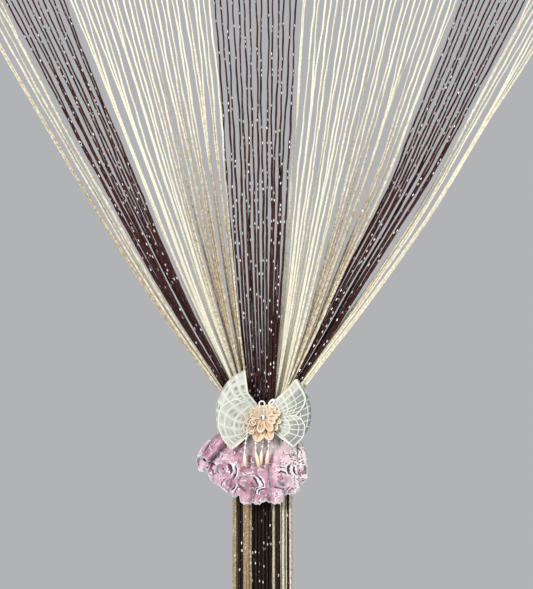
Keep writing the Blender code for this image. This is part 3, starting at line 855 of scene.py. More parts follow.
def yarn_look(name, light, shade, silver_chance, toned=False):
    """Flat braided yarn with a silver thread that shows in dashes."""
    look = Look(name, roughness=0.6)
    look.drive("Specular IOR Level", 0.2)
    stitches = braid(look)
    patches = look.cloud(220.0, 3.0)
    # Darker between the braid's stitches: painted shade in their grooves
    body = look.mix(stitches, shade[0], light[0])
    if toned:
        mottle = look.cloud(420.0)
        tan = look.mix(stitches, shade[1], light[1])
        tan = look.mix(look.between(mottle, 0.54, 0.66, 0.0, 0.6), tan, TAN_MOTTLE)
        tan = look.mix(look.between(mottle, 0.34, 0.44, 0.28, 0.0), tan, light[0])
        # The tone value is partly the yarn's own tan and partly painted shade towards the tie
        share = look.value_of("tone") + look.between(patches, 0.3, 0.7, -0.18, 0.18)
        share = look.between(share, 0.0, 1.0)
        body = look.mix(share, body, tan)
    else:
        body = look.mix(look.between(patches, 0.35, 0.65), body, light[1])
        # Painted shade where the strings crowd towards the tie and below it: darker brown and fewer silver
        # dashes
        body = look.mix(look.between(look.value_of("tone"), 0.0, 1.0, 0.0, 0.85), body, BROWN_DARK)
        silver_chance = look.between(look.value_of("tone"), 0.0, 1.0, silver_chance, 0.35 * silver_chance)
    dashes = glints(look, silver_chance)
    look.colour(look.mix(dashes, body, SILVER))
    look.drive("Metallic", dashes * 0.3)
    look.drive("Roughness", look.between(dashes, 0.0, 1.0, 0.6, 0.25))
    look.bump(stitches + patches * 0.6, 0.35 * MM, 0.9)
    return look.material


def string_points(root_x, tie_x, tie_y, shift, seed):
    """The frame's own points of a string, from its root strip's lower edge to its cut end."""
    root_z = -HEADING_HEIGHT - GAP - STRIP_HEIGHT
    points = [(root_x, 0, root_z)]
    for place, station in enumerate(STRING_PATH):
        left = station.offset
        x = tie_x + left * (root_x - tie_x) + STRING_WAVER * left * uneven(place, seed)
        y = tie_y * (1 - left**3) + STRING_WAVER_DEPTH * left * uneven(place, seed + 2)
        points.append((x, y, root_z - station.drop * TIE_DROP))
    used = sum(math.dist(a, b) for a, b in zip(points, points[1:])) + STRIP_HEIGHT / 2
    end = STRING_LENGTH - used + STRING_END_UNEVEN * uneven(seed, 3)
    x, y, z = points[-1]
    if shift:
        points.append((x, y, z - SHIFT_START))
    for share in (SHIFT_END / end, 1.0):
        spread = 1 + (BUNDLE_SPREAD_AT_END - 1) * share
        points.append((TIE_X + (x + shift - TIE_X) * spread, y * spread, z - end * share))
    return np.array(points)


def root_places(group):
    """Where a group's strings leave the heading, a little unevenly spaced."""
    pitch = (group.root_right - group.root_left) * MM / group.count
    for number in range(group.count):
        yield group.root_left * MM + (number + 0.5) * pitch + ROOT_UNEVEN * uneven(number, group.root_left)


def bundle_places(group):
    """Where a group's strings lie in the tied bundle, filled column by column from the back."""
    for lot in LOTS:
        if lot.group != group.name:
            continue
        rows = math.ceil(lot.count / lot.columns)
        pitch = (lot.last - lot.first) / max(lot.columns - 1, 1)
        for number in range(lot.count):
            column, row = divmod(number, rows)
            row = lot.behind + (rows - 1 - row if lot.behind % 2 and rows == 2 else row)
            stagger = pitch / 2 if row % 2 else 0.0
            x = lot.first + column * pitch + stagger
            yield x * MM, BACK_ROW_Y - ROW_PITCH * row, lot.shift * MM


def string_line(root_x, tie_x, tie_y, shift, seed):
    """A smooth line through the string's points, with a slight sway of its own."""
    points = string_points(root_x, tie_x, tie_y, shift, seed)
    drop = -points[:, 2]
    at = np.linspace(drop[0], drop[-1], round((drop[-1] - drop[0]) / STRING_STEP))
    line = np.column_stack((smooth_through(drop, points[:, :2], at), -at))
    free = 1 - 0.8 * smoothstep(0.55, 0.9, at / TIE_DROP) + 0.35 * smoothstep(1.3, 1.8, at / TIE_DROP)
    ease = smoothstep(0, 60 * MM, at - at[0])
    sway = np.sin(at * 61 + seed * 2.1) + 0.6 * np.sin(at * 143 + seed * 4.7)
    wander = np.sin(at * 11 + seed * 3.3) + 0.5 * np.sin(at * 23 + seed * 5.9)
    line[:, 0] += ease * free * (STRING_SWAY * sway + STRING_WANDER * wander)
    top = (points[0, 0], 0, points[0, 2] + STRIP_HEIGHT / 2)
    return np.vstack((top, line))


def string_tone_and_shade(group, number, drop):
    """How tan a cream string is at each place down its length, partly its own tone and partly painted shade
    of the crowded bundle at and below the tie; for brown ones, how much painted shade darkens them towards
    the tie and below it.
    """
    if group.name not in TONES:
        return 0.45 * smoothstep(0.42, 0.62, drop) + 0.55 * smoothstep(0.80, 0.86, drop)
    tone = TONES[group.name]
    share = smoothstep(tone.meet - 0.14, tone.meet + 0.14, number / (group.count - 1))
    at_tie = tone.tie_left + (tone.tie_right - tone.tie_left) * share
    upper = tone.top + (at_tie - tone.top) * smoothstep(0.15, 0.50, drop)
    value = upper + (tone.below - upper) * smoothstep(0.82, 0.86, drop)
    return value + 0.14 * uneven(number, 5.0)


def add_root_strip(tubes, group, number):
    """The knitted strip that holds a group's roots."""
    left, right = group.root_left * MM + GAP / 2, group.root_right * MM - GAP / 2
    steps = max(8, round((right - left) / (4 * MM)))
    x = np.linspace(left, right, steps)
    line = stacked(x, 0.0, -HEADING_HEIGHT - GAP - STRIP_HEIGHT / 2)
    swell = 1 + 0.04 * np.sin(x * 1900)
    tubes.add(line, STRIP_HEIGHT / 2, STRIP_THICKNESS / 2 * swell, number, across=(0, 0, 1))


def share_of_drop(line):
    """How far down the drop to the tie each point of a string is, from 0 at the heading."""
    return (-line[:, 2] - HEADING_HEIGHT - GAP - STRIP_HEIGHT) / TIE_DROP


def cling_together(lines, cluster):
    """Lets a cluster's strings lean together above the tie, one behind another."""
    members = lines[cluster.first : cluster.last + 1]
    for place, line in enumerate(members):
        share = share_of_drop(line)
        hold = smoothstep(cluster.start, cluster.touch, share) * (1 - smoothstep(*CLUSTER_END, share))
        others = [np.interp(-line[:, 2], -other[:, 2], other[:, 0]) for other in members]
        step = place - (len(members) - 1) / 2
        aside = hold * (np.mean(others, axis=0) + step * CLUSTER_PITCH - line[:, 0])
        yield line + stacked(aside, hold * step * CLUSTER_DEPTH, 0)


def string_lines(group, first_number):
    """All of a group's strings, with those that lie aside and those that cling together."""
    places = zip(root_places(group), bundle_places(group))
    lines = [string_line(root, *tie, first_number + number) for number, (root, tie) in enumerate(places)]
    for row in ASIDES.get(group.name, ()):
        members = range(row.first, row.last + 1)
        for number, by in zip(members, np.linspace(row.first_by, row.last_by, len(members))):
            share = share_of_drop(lines[number])
            moved = smoothstep(*row.where[:2], share) * (1 - smoothstep(*row.where[2:], share))
            lines[number][:, :2] += np.outer(moved, (by * MM, row.back * MM))
    for cluster in CLUSTERS.get(group.name, ()):
        lines[cluster.first : cluster.last + 1] = list(cling_together(lines, cluster))
    return lines


def make_strings(group, first_number, look):
    tubes = Tubes(STRING_SECTION)
    tones = []
    for number, line in enumerate(string_lines(group, first_number)):
        seed = first_number + number
        drop = -line[:, 2]
        free = 1 - 0.7 * smoothstep(0.5 * TIE_DROP, 0.9 * TIE_DROP, drop)
        roll = math.radians(STRING_ROLL) * free * np.sin(drop * 17 + seed * 1.9)
        swell = 1 + TAPE_SWELL * np.sin(drop * 310 + seed) * np.sin(drop * 97 + 2 * seed)
        wider = 1 + YARN_WIDENING[group.yarn] * smoothstep(0.15 * TIE_DROP, 0.65 * TIE_DROP, drop)
        half_width = YARN_WIDTHS[group.yarn] / 2 * swell * wider
        tubes.add(line, half_width, STRING_THICKNESS / 2, uneven(seed, 1.0), roll=roll)
        tones.append(np.repeat(string_tone_and_shade(group, number, drop), len(STRING_SECTION)))
    before = tubes.count
    add_root_strip(tubes, group, uneven(first_number, 8.0))
    tones.append(np.full(tubes.count - before, 0.3))
    tone = np.concatenate(tones)
    piece = tubes.piece("tapes_strings_" + group.name, look, group.yarn + "_yarn", tone=tone)
    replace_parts(piece, "strings_" + group.name)


def make_all_strings():
    cream = yarn_look("cream_tape", (CREAM, TAN), (CREAM_SHADE, TAN_SHADE), 0.14, toned=True)
    brown = yarn_look("brown_tape", (BROWN, BROWN_LIGHT), (BROWN, BROWN), 0.25)
    first_number = 0
    for group in GROUPS:
        make_strings(group, first_number, cream if group.yarn == "cream" else brown)
        first_number += group.count


def as_sheet(name, grid, look, slot, weave, closed=False, **attributes):
    """A cloth piece through a grid of points; weave is both parts of their place on the flat cloth."""
    faces = grid_faces(*grid.shape[:2], closed=closed)
    flat = stacked(*weave, 0.0).reshape(-1, 3)
    return made_piece(name, grid.reshape(-1, 3), faces, look, slot, weave=flat, **attributes)


def woven_look(name, warp, weft, pitch):
    """Plain weave with a rib: warp runs across the cloth and weft along it."""
    look = Look(name, sheen_weight=0.3, sheen_roughness=0.5)
    across, along, _ = look.values_of("weave")
    over = look.between(look.wave(across, pitch) * look.wave(along, 0.7 * pitch), -1.0, 1.0)
    slubs = look.noise(look.joined(across * 40, along * 700), 1.0)
    shade = over * 0.7 + look.between(slubs, 0.3, 0.7, 0.0, 0.3)
    look.colour(look.mix(shade, weft, warp))
    look.drive("Roughness", look.between(slubs, 0.3, 0.7, 0.65, 0.85))
    look.bump(shade, 0.25 * MM)
    return look.material


def heading_path():
    """The heading cloth's middle line in depth and height, and its seam's height.

    It runs up the front, round the pocket and down the back.
    """
    centre = -HEADING_CLOTH - POCKET_HEIGHT / 2
    wide, high = (POCKET_DEPTH + HEADING_CLOTH) / 2, (POCKET_HEIGHT + HEADING_CLOTH) / 2
    seam = centre - high - POCKET_SEAM_DROP
    apart = HEADING_CLOTH / 2
    angles = np.radians(np.linspace(270 - POCKET_SEAM_ANGLE, -90 + POCKET_SEAM_ANGLE, 60))
    oval = [(wide * math.cos(angle), centre + high * math.sin(angle)) for angle in angles]
    path = [(-apart, -HEADING_HEIGHT), (-apart, seam), *oval, (apart, seam), (apart, -HEADING_HEIGHT)]
    return evenly_along(path, 2.6 * MM), seam


def add_stitches(tubes, start, end, y, z, depth):
    """A row of short stitches that stand slightly out of the cloth."""
    t = np.linspace(0, 1, 5)
    rise = np.sin(t * math.pi)
    thick = (0.18 + 0.22 * rise) * MM
    for number in range(round((end - start) / STITCH_PITCH)):
        left = start + number * STITCH_PITCH + 0.2 * MM * uneven(number, 2.0)
        line = stacked(left + t * 0.72 * STITCH_PITCH, y + depth * rise, z + 0.15 * MM * uneven(number))
        tubes.add(line, thick, thick, uneven(number), across=(0, 0, 1))


def make_heading_cloth(path, seam):
    """The folded band, puckered beside its seam and a little slack round the pocket."""
    look = woven_look("heading_weave", (0.66, 0.58, 0.43), (0.42, 0.35, 0.23), 1.6 * MM)
    x = np.linspace(-HEADING_WIDTH / 2, HEADING_WIDTH / 2, 211)
    depth, height = path[:, :1], path[:, 1:]
    from_seam = np.exp(-(((height - seam) / (9 * MM)) ** 2))
    pucker = np.sin(x * 230) + 0.7 * np.sin(x * 391 + 1)
    above = np.clip((height - seam) / (POCKET_HEIGHT / 2), 0, 1)
    slack = np.sin(x * 27 + 0.5) + 0.6 * np.sin(x * 61)
    y = depth + 0.25 * MM * np.sign(depth) * (1 + pucker) * from_seam
    grid = stacked(x, y + 0.5 * MM * np.sin(above * math.pi) * slack, height)
    heading = as_sheet("heading_cloth", grid, look, "woven_band", (x, lengths_along(path)[:, None]))
    solidified(heading, 1.3 * MM)
    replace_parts(heading, "heading")
    return heading


def make_heading():
    path, seam = heading_path()
    heading = make_heading_cloth(path, seam)
    thread = Look("heading_thread", roughness=0.5, sheen_weight=0.2)
    # Darker stripes along the thread's twist: painted shade in the grooves between its plies
    twist = thread.math("SINE", thread.values_of("run")[1] * 9000)
    thread.colour(thread.mix(thread.between(twist, -1.0, 1.0), (0.62, 0.52, 0.36), (0.80, 0.72, 0.56)))
    tubes = Tubes(round_section(5))
    edge = HEADING_WIDTH / 2 - 4 * MM
    for side in (-1, 1):
        for z in (seam - 3 * MM, -HEADING_HEIGHT + 5 * MM):
            add_stitches(tubes, -edge, edge, side * 1.45 * MM, z, side * 0.15 * MM)
    stitches = tubes.piece("heading_stitches", thread.material, "woven_band")


def rounded_rectangle(half_width, half_depth, corner):
    """A closed rounded outline that starts and ends in the middle of its back."""
    steps = 8
    points = [(0, half_depth)]
    for quarter, (x, y) in enumerate(((-1, 1), (-1, -1), (1, -1), (1, 1))):
        for step in range(steps + 1):
            angle = math.pi / 2 * (quarter + 1 + step / steps)
            across, deep = corner * math.cos(angle), corner * math.sin(angle)
            points.append((x * (half_width - corner) + across, y * (half_depth - corner) + deep))
    return points + [(0, half_depth)]


def ribbon_look():
    """Ribbed satin for the band round the bundle."""
    look = Look("tie_ribbon", roughness=0.35, sheen_weight=0.3)
    across, along, _ = look.values_of("weave")
    ribs = look.wave(along, THREAD_PITCH)
    shade = look.between(ribs * 0.2 + look.cloud(90.0, 3.0), 0.2, 0.9)
    look.colour(look.mix(shade, (0.40, 0.33, 0.22), (0.78, 0.70, 0.52)))
    look.bump(ribs + across * 60, 0.08 * MM)
    return look.material


def make_tie_band():
    """A ribbon round the bundle, lapped over its own start at the back."""
    step, lap = 2.4 * MM, 28 * MM
    out = BAND_THICKNESS / 2
    ring = rounded_rectangle(BAND_HALF_WIDTH + out, BAND_HALF_DEPTH + out, BAND_CORNER + out)
    ring = evenly_along(ring, step)
    ring_length = lengths_along(ring)[-1]
    path = np.vstack((ring, ring[1 : round(lap / step)]))
    along = lengths_along(path)[:, None]
    height = np.linspace(-0.5, 0.5, 15)
    tangent = np.gradient(path, axis=0)
    normal = -unit(np.column_stack((-tangent[:, 1], tangent[:, 0])))
    lift = 1.3 * MM * smoothstep(ring_length - 22 * MM, ring_length, along)
    behind = smoothstep(-2 * MM, BAND_HALF_DEPTH, path[:, 1:])
    creases = np.sin(along * 190 + height * 3) + 0.7 * np.sin(along * 83 - height * 5)
    offset = lift + 0.35 * MM * behind * (1.7 + creases)
    x = BAND_X + path[:, :1] + normal[:, :1] * offset
    y = BAND_Y + path[:, 1:] + normal[:, 1:] * offset
    height = height * BAND_HEIGHT
    grid = stacked(x, y, BAND_Z + height)
    band = as_sheet("tie_ribbon", grid, ribbon_look(), "woven_band", (along, height))
    solidified(band, 0.9 * MM)
    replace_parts(band, "tie_band")


def wing_points(wing, turn, across):
    """Points of a wing: turn runs from the pinch's front round the outer fold to its back."""
    across = np.atleast_1d(across)
    turn = np.atleast_1d(turn)[:, None]
    out, front = np.abs(np.sin(turn)), np.cos(turn)
    reach, rise = table_curve(wing.fold, across, MM).T
    hollowed = HOLLOW_SLOPE * out + (1 - HOLLOW_SLOPE) * smoothstep(HOLLOW_END, 1.0, out)
    lift = out + wing.hollow * np.maximum(across, 0) ** 2 * (hollowed - out)
    bulge = np.where(front > 0, BOW_BULGE_FRONT, BOW_BULGE_BACK) * out**BOW_BULGE_POWER
    depth = front * (BOW_PINCH_HALF_DEPTH + bulge * (1 - BOW_FLATTER_EDGE * np.abs(across)))
    inward = np.where(front > 0, 1, -1) * smoothstep(0, 0.12, np.abs(front))
    deep = PLEAT_DEPTH * (1 - smoothstep(0.35, 0.9, out))
    pleats = inward * deep * (1 - np.cos(across * math.pi * (GAUZE_LINES - 1))) / 2
    y = BOW_Y - depth - BOW_SWEEP * out**BOW_SWEEP_POWER + pleats
    sag = wing.sag * np.sin(math.pi * out) * (1 - across**2) * (front > 0)
    z = PINCH_Z + across * BOW_PINCH_HALF_HEIGHT * (1 - out) + rise * lift - sag
    return stacked(PINCH_X + wing.side * reach * out, y, z)


def lobe_points(lobe, out, across):
    """Points of a lobe: out runs from the pinch to its outer edge, just in front of the wing."""
    across = np.atleast_1d(across)
    out = np.atleast_1d(out)[:, None]
    reach, rise = table_curve(lobe.edge, across, MM).T
    share = out * reach / WING_REACH
    front = np.sqrt(1 - np.minimum(share, 0.98) ** 2)
    wing_depth = front * (BOW_PINCH_HALF_DEPTH + BOW_BULGE_FRONT * share**BOW_BULGE_POWER)
    lift = LOBE_LIFT * np.minimum(out / 0.15, 1)
    puff = LOBE_PUFF * np.sin(math.pi * out**1.3) * (1 - across**2) ** 0.5
    y = BOW_Y - wing_depth - BOW_SWEEP * share**BOW_SWEEP_POWER - lift - puff
    sag = lobe.sag * np.sin(math.pi * out) * (1 - across**2)
    return stacked(PINCH_X + lobe.side * reach * out, y, PINCH_Z + rise * out - sag)


def turns_at(wing, step):
    """Turns about a step apart along a wing's middle line, and how far along it each one lies."""
    turns = np.linspace(0, math.pi, 400)
    lengths = lengths_along(wing_points(wing, turns, 0.0)[:, 0])
    count = round(lengths[-1] / step)
    at = np.linspace(0, lengths[-1], count + 1)
    return np.interp(at, lengths, turns), at


def from_cell_middle(look, value, pitch):
    """How far a value lies from the middle of its cell, from 0 to 0.5."""
    within = look.math("FRACT", value / pitch)
    return abs(within - 0.5)


def gauze_look(name, light, slit):
    """Stiff sheer gauze: clearer slits between its corded lines, paler beside them, and panes darkened by
    painted shade as far as each point's shade value says.
    """
    look = Look(name, roughness=0.5)
    across, along, _ = look.values_of("weave")
    beside = from_cell_middle(look, along, GAUZE_PITCH / 2)
    within = from_cell_middle(look, across, GAUZE_PITCH)
    slits = look.between(beside, 0.12, 0.34, 1.0, 0.0) * look.between(within, 0.12, 0.32, 1.0, 0.0)
    beam = look.math("MAXIMUM", within, from_cell_middle(look, along, GAUZE_PITCH))
    light = look.mix(look.between(beam, 0.28, 0.46), light, (0.67, 0.685, 0.615))
    threads = look.math("MAXIMUM", look.wave(across, 1.1 * MM), look.wave(along, 1.1 * MM))
    fine = look.between(threads, 0.0, 1.0)
    cloud = look.cloud(55.0)
    shade = slits * look.between(cloud, 0.38, 0.62, 0.15, 1.0)
    # Painted shade: the dark colour that the panes take where their shade value is set
    pane = look.mix(cloud, (0.20, 0.22, 0.215), (0.34, 0.36, 0.35))
    look.colour(look.mix(look.value_of("thin"), look.mix(shade, light, slit), pane))
    look.drive("Alpha", fine * 0.2 + look.value_of("cover") - shade * 0.2)
    look.bump(fine, 0.1 * MM)
    return look.material


def cord_look(name, light, shade, turn_length):
    """Thin cord with slanting plies, darker in the grooves between them: painted shade."""
    look = Look(name, roughness=0.4, sheen_weight=0.3)
    across, along, _ = look.values_of("run")
    plies = look.between(look.math("SINE", along * (2 * math.pi / turn_length) + across * 1.4), -1.0, 1.0)
    look.colour(look.mix(plies, shade, light))
    look.bump(plies, 0.15 * MM)
    return look.material


def make_wings(look):
    """The ribbon's two wings, joined in a ring through the pinch, and the ribbon's flat size."""
    rows, lengths = [], []
    for wing, order in ((RIGHT_WING, 1), (LEFT_WING, -1)):
        turns, at = turns_at(wing, GAUZE_ROW)
        rows.append(wing_points(wing, turns[::order][:-1], np.linspace(-1, 1, GAUZE_COLUMNS)))
        lengths.append(at[:-1])
    grid = np.concatenate(rows)
    half = GAUZE_PITCH * (GAUZE_LINES - 1) / 2
    weave = (np.linspace(-half, half, GAUZE_COLUMNS), np.concatenate(lengths)[:, None])
    right = smoothstep(0.25, 0.8, (grid[..., 0] - PINCH_X) / WING_REACH)
    # Painted shade on the panes of the right wing's lower part
    thin = 0.9 * right * (1 - smoothstep(30 * MM, 50 * MM, grid[..., 2] - PINCH_Z))
    values = {"cover": np.full(thin.size, WING_COVER), "thin": thin.ravel()}
    bow = as_sheet("bow_gauze", grid, look, "stiff_gauze", weave, closed=True, **values)
    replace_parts(bow, "bow")
    return bow, (2 * half, float(lengths[0][-1] + lengths[1][-1]))


def add_gauze_cords(tubes, surface, form, outs, fine_outs, lines):
    """Cords along and across a gauze surface, with thicker ones along its edges."""
    small = 0.01
    for number, across in enumerate(np.linspace(-1, 1, lines)):
        line = surface(form, fine_outs, across)[:, 0]
        low, high = max(across - small, -1), min(across + small, 1)
        sides = surface(form, fine_outs, high) - surface(form, fine_outs, low)
        size = EDGE_CORD if abs(across) > 0.99 else CORD
        tubes.add(line, *size, uneven(number), across=sides[:, 0])
    places = np.linspace(-1, 1, 45)
    for number, out in enumerate(outs):
        sides = surface(form, out + small, places) - surface(form, out - small, places)
        tubes.add(surface(form, out, places)[0], *CORD, uneven(number), across=sides[0])


def make_lobes(look, tubes):
    """Puffed lobes on the front of the wings, each a fan from the pinch, with their cords and rims."""
    across = np.linspace(-1, 1, 49)
    out = np.linspace(LOBE_FOOT, 1, 33)
    for number, lobe in enumerate(LOBES, 1):
        grid = lobe_points(lobe, out, across)
        reach = float(np.linalg.norm(grid[-1] - grid[0], axis=1).mean())
        half = GAUZE_PITCH * (lobe.lines - 1) / 2
        weave = ((across + 1) * half, out[:, None] * reach)
        # Painted shade on the panes near the lobe's outer edge
        outer = smoothstep(0.60, 0.80, out)[:, None]
        thin = lobe.thin * outer * (1 - smoothstep(0.4, 0.8, lobe.side * across))
        values = {"cover": np.full(thin.size, LOBE_COVER), "thin": thin.ravel()}
        piece = as_sheet(f"bow_lobe_{number}", grid, look, "stiff_gauze", weave, **values)
        outs = np.arange(GAUZE_PITCH, reach, GAUZE_PITCH) / reach
        add_gauze_cords(tubes, lobe_points, lobe, outs, np.linspace(LOBE_FOOT, 1, 30), lobe.lines)
        places = np.linspace(-1, 1, 60)
        rim, inner = (lobe_points(lobe, place, places)[0] for place in (1.0, 0.95))
        tubes.add(rim, *RIM_CORD, number, across=rim - inner)


def make_bow():
    wing_gauze = gauze_look("gauze", (0.56, 0.575, 0.525), (0.27, 0.30, 0.265))
    lobe_gauze = gauze_look("lobe_gauze", (0.57, 0.585, 0.51), (0.39, 0.41, 0.355))
    bow, flat = make_wings(wing_gauze)
    tubes = Tubes(round_section(6))
    for wing in (RIGHT_WING, LEFT_WING):
        turns, _ = turns_at(wing, GAUZE_PITCH)
        fine_turns, _ = turns_at(wing, 3 * MM)
        outs = [turn for turn in turns[1:-1] if abs(turn - math.pi / 2) > 0.25] + [math.pi / 2]
        add_gauze_cords(tubes, wing_points, wing, outs, fine_turns, GAUZE_LINES)
    make_lobes(lobe_gauze, tubes)
    look = cord_look("gauze_cord", (0.82, 0.82, 0.75), (0.62, 0.615, 0.54), 1.6 * MM)
    threads = tubes.piece("bow_threads", look, "stiff_gauze")
    area = GAUZE_WAIST * flat[0] * flat[1]


def rounded_through(rows, at):
    """Values on a rounded line through a table's rows, for places counted in rows."""
    table = np.array(rows, dtype=float) * MM
    extended = np.vstack((table[:1], table, table[-1:]))
    start = np.minimum(at.astype(int), len(table) - 2)
    a, b, c, d = (extended[start + step] for step in range(4))
    t = (at - start)[:, None]
    bend = (2 * a - 5 * b + 4 * c - d) * t**2 + (3 * b - a - 3 * c + d) * t**3
    return b + ((c - a) * t + bend) / 2


def blotched(look, u, v, middle, whiter):
    """The print's ground in pinks and greys, paler to the left and right, with painted shade darkening the
    middle, and white on the right.
    """
    blotch = look.noise(look.joined(u, v), 60.0, 3.0)
    base = look.mix(look.between(blotch, 0.40, 0.60), (0.36, 0.16, 0.24), (0.62, 0.38, 0.46))
    light = look.noise(look.joined(u + 3.1, v), 80.0)
    base = look.mix(look.between(light, 0.50, 0.64), base, INKS["pale"])
    greys = look.noise(look.joined(u, v + 5.3), 75.0)
    base = look.mix(look.between(greys, 0.55, 0.64, 0.0, 0.75), base, (0.26, 0.21, 0.24))
    base = look.mix(look.between(u, 0.0, 24 * MM, 0.0, 0.5), base, INKS["pale"])
    base = look.mix(look.between(u, -90 * MM, -55 * MM, 0.4, 0.0), base, INKS["pale"])
    # Painted shade in the middle, between the pendants
    base = look.mix(middle, base, (0.16, 0.07, 0.10))
    return look.mix(whiter * look.between(light, 0.30, 0.50), base, (0.74, 0.70, 0.71))


def with_thin_strokes(look, u, v, pitch, offset, base):
    """The cloth's colour with thin white strokes strewn over it and maroon ones beside them."""
    light, dark = strokes(look, u, v, pitch, offset, 0.05)
    return look.mix(light, look.mix(dark, base, INKS["maroon"]), INKS["white"])


def with_print(look, u, v, whiter, base):
    """The cloth's colour with thin strokes, swirls at slightly wavering places, and dashes."""
    base = with_thin_strokes(look, u, v, 13 * MM, 0.0, base)
    waver_u = look.between(look.noise(look.joined(v, u), 140.0), 0.3, 0.7, -PRINT_WAVER, PRINT_WAVER)
    waver_v = look.between(look.noise(look.joined(u, v), 150.0), 0.3, 0.7, -PRINT_WAVER, PRINT_WAVER)
    place = look.joined(u + waver_u, v + waver_v)
    for swirl in SWIRLS:
        base = with_swirl(look, place, swirl, base)
    dashes = strokes(look, u, v, 8 * MM, 0.4, 0.20)[1]
    return look.mix(dashes * whiter, base, INKS["maroon"])


def frill_look():
    """Printed ruffle in pinks, greys and white strokes, with sheer cloth at its top."""
    look = Look("frill_print", roughness=0.6, sheen_weight=0.2)
    x, y, z = look.parts(look.place())
    lean = y + 30 * MM
    u, v = x + lean * 0.35, z + lean * 0.25
    # Painted shade between the pendants, strongest round the cloth's middle
    middle = look.between(abs(u + 18 * MM), 12 * MM, 34 * MM, 0.30, 0.0)
    whiter = look.between(u, 34 * MM, 46 * MM)
    base = with_print(look, u, v, whiter, blotched(look, u, v, middle, whiter))
    down = look.values_of("weave")[1]
    hem = look.between(down, FRILL_DEPTH - 2 * MM, FRILL_DEPTH - 1 * MM)
    base = look.mix(hem, base, (0.60, 0.59, 0.59))
    sheer = look.value_of("sheer")
    veil = look.noise(look.joined(u * 3.0, v), 50.0)
    organza = look.mix(look.between(veil, 0.3, 0.7), (0.50, 0.43, 0.42), (0.76, 0.67, 0.66))
    # The sheer cloth takes the same painted shade between the pendants
    organza = look.mix(middle * 1.5, organza, (0.20, 0.15, 0.14))
    look.colour(look.mix(sheer, base, organza))
    look.drive("Alpha", 1.0 - sheer * look.between(veil, 0.25, 0.75, 0.26, 0.06))
    look.bump(look.wave(down, THREAD_PITCH), 0.06 * MM)
    return look.material


def with_swirl(look, place, swirl, base):
    """The cloth's colour with one swirl of pointed arcs drawn over it."""
    direction, radius = look.polar(place, (swirl.x * MM, swirl.z * MM, 0))
    angle = direction - math.radians(swirl.facing)
    for arc in SWIRL_ARCS:
        turn = angle - math.radians(swirl.hand * arc.turn)
        taper = look.between(look.math("COSINE", turn), math.cos(math.radians(arc.sweep)), 1.0)
        off = abs(radius - arc.radius * swirl.size * MM)
        inked = look.math("LESS_THAN", off, taper * (arc.width * swirl.size * MM))
        base = look.mix(inked, base, INKS[arc.ink])
    return base


def strokes(look, u, v, pitch, offset, width):
    """Curved light strokes strewn over a cloth, and broken dark strokes beside them."""
    scaled = look.joined(u * (1 / pitch) + offset * 7, v * (1 / pitch) + offset * 3)
    cells = look.node("TexVoronoi", voronoi_dimensions="2D")
    look.feed(cells.inputs["Vector"], scaled)
    cells.inputs["Scale"].default_value = 1.0
    turned, bent, _ = look.parts(look.out(cells, "Color"))
    direction, radius = look.polar(scaled, look.out(cells, "Position"))
    angle = direction - turned * (2 * math.pi)
    taper = look.between(look.math("COSINE", angle), -0.2, 0.9)
    light_off = abs(radius - look.between(bent, 0.0, 1.0, 0.22, 0.36))
    light = look.math("LESS_THAN", light_off, taper * width)
    dark_off = abs(radius - look.between(bent, 0.0, 1.0, 0.33, 0.47))
    broken = look.between(look.math("SINE", angle * 6.0), -0.6, 0.4, 0.1 * width, 0.9 * width)
    dark = look.math("LESS_THAN", dark_off, taper * broken)
    return light * look.math("GREATER_THAN", taper, 0.05), dark * look.math("GREATER_THAN", taper, 0.08)


def puffed(x, z):
    """How far the ruffle's swirled puffs stand forward at a place."""
    forward = 0
    for puff in PUFFS:
        across, up = (x - puff.x * MM) / (puff.radius * MM), (z - puff.z * MM) / (puff.radius * MM)
        far = np.hypot(across, up)
        swirl = np.cos(2 * math.pi * 1.9 * far + np.arctan2(up, across) + puff.x)
        raised = puff.forward * np.exp(-1.3 * far**2) + 1.5 * swirl * np.exp(-0.9 * far**2)
        forward = forward + raised * MM
    return forward


def frill_points(columns, rows):
    """The frill's grid of points, their place on the flat cloth, and how sheer each point is."""
    place = np.linspace(-1, 1, columns)[:, None]
    notch = sum(cut.depth * np.exp(-(((place - cut.place) / cut.width) ** 2)) for cut in FRILL_NOTCHES)
    t = notch + (1 - notch) * np.linspace(0, 1, rows)[None, :]
    hem = rounded_through(FRILL_HEM, np.linspace(0, len(FRILL_HEM) - 1, columns))
    out_x, down_z, forward = (hem[:, axis][:, None] for axis in range(3))
    hem_length = lengths_along(hem)[:, None]
    top_x = place * FRILL_TOP_WIDTH / 2
    out = np.sin(t * math.pi / 2) * np.abs(place) + t * (1 - np.abs(place))
    down = t ** (1 + np.where(place < 0, FRILL_LEFT_DROOP, FRILL_SIDE_DROOP) * place**2)
    flutes = np.sin(hem_length * 320 + 0.8 * np.sin(hem_length * 61)) + 0.5 * np.sin(hem_length * 705 + 2)
    puff_start = 0.46 + 0.025 * np.sin(place * 13 + 1)
    middle = 1 - smoothstep(0.50, 0.64, np.abs(place - 0.2))
    step = smoothstep(puff_start - 0.03, puff_start + 0.05, t) * (1 - 0.7 * smoothstep(0.7, 1.0, t))
    x = PINCH_X + top_x + (out_x - top_x) * out
    scallop = np.abs(np.sin(hem_length * math.pi / (10 * MM)))
    z = PINCH_Z - down_z * down - 1.8 * MM * scallop * smoothstep(0.9, 1.0, t)
    forward = forward * smoothstep(-1.05, -0.8, place)
    y = FRILL_Y - FRILL_HEM_FORWARD * t**FRILL_FORWARD_POWER - forward * t**FRILL_FLUTE_POWER
    y = y - 3.0 * MM * step * middle - 0.8 * MM * t * flutes - puffed(x, z) * smoothstep(0.42, 0.6, t)
    sheer = middle * (1 - smoothstep(puff_start - 0.02, puff_start + 0.02, t))
    return stacked(x, y, z), (hem_length, t * FRILL_DEPTH), sheer


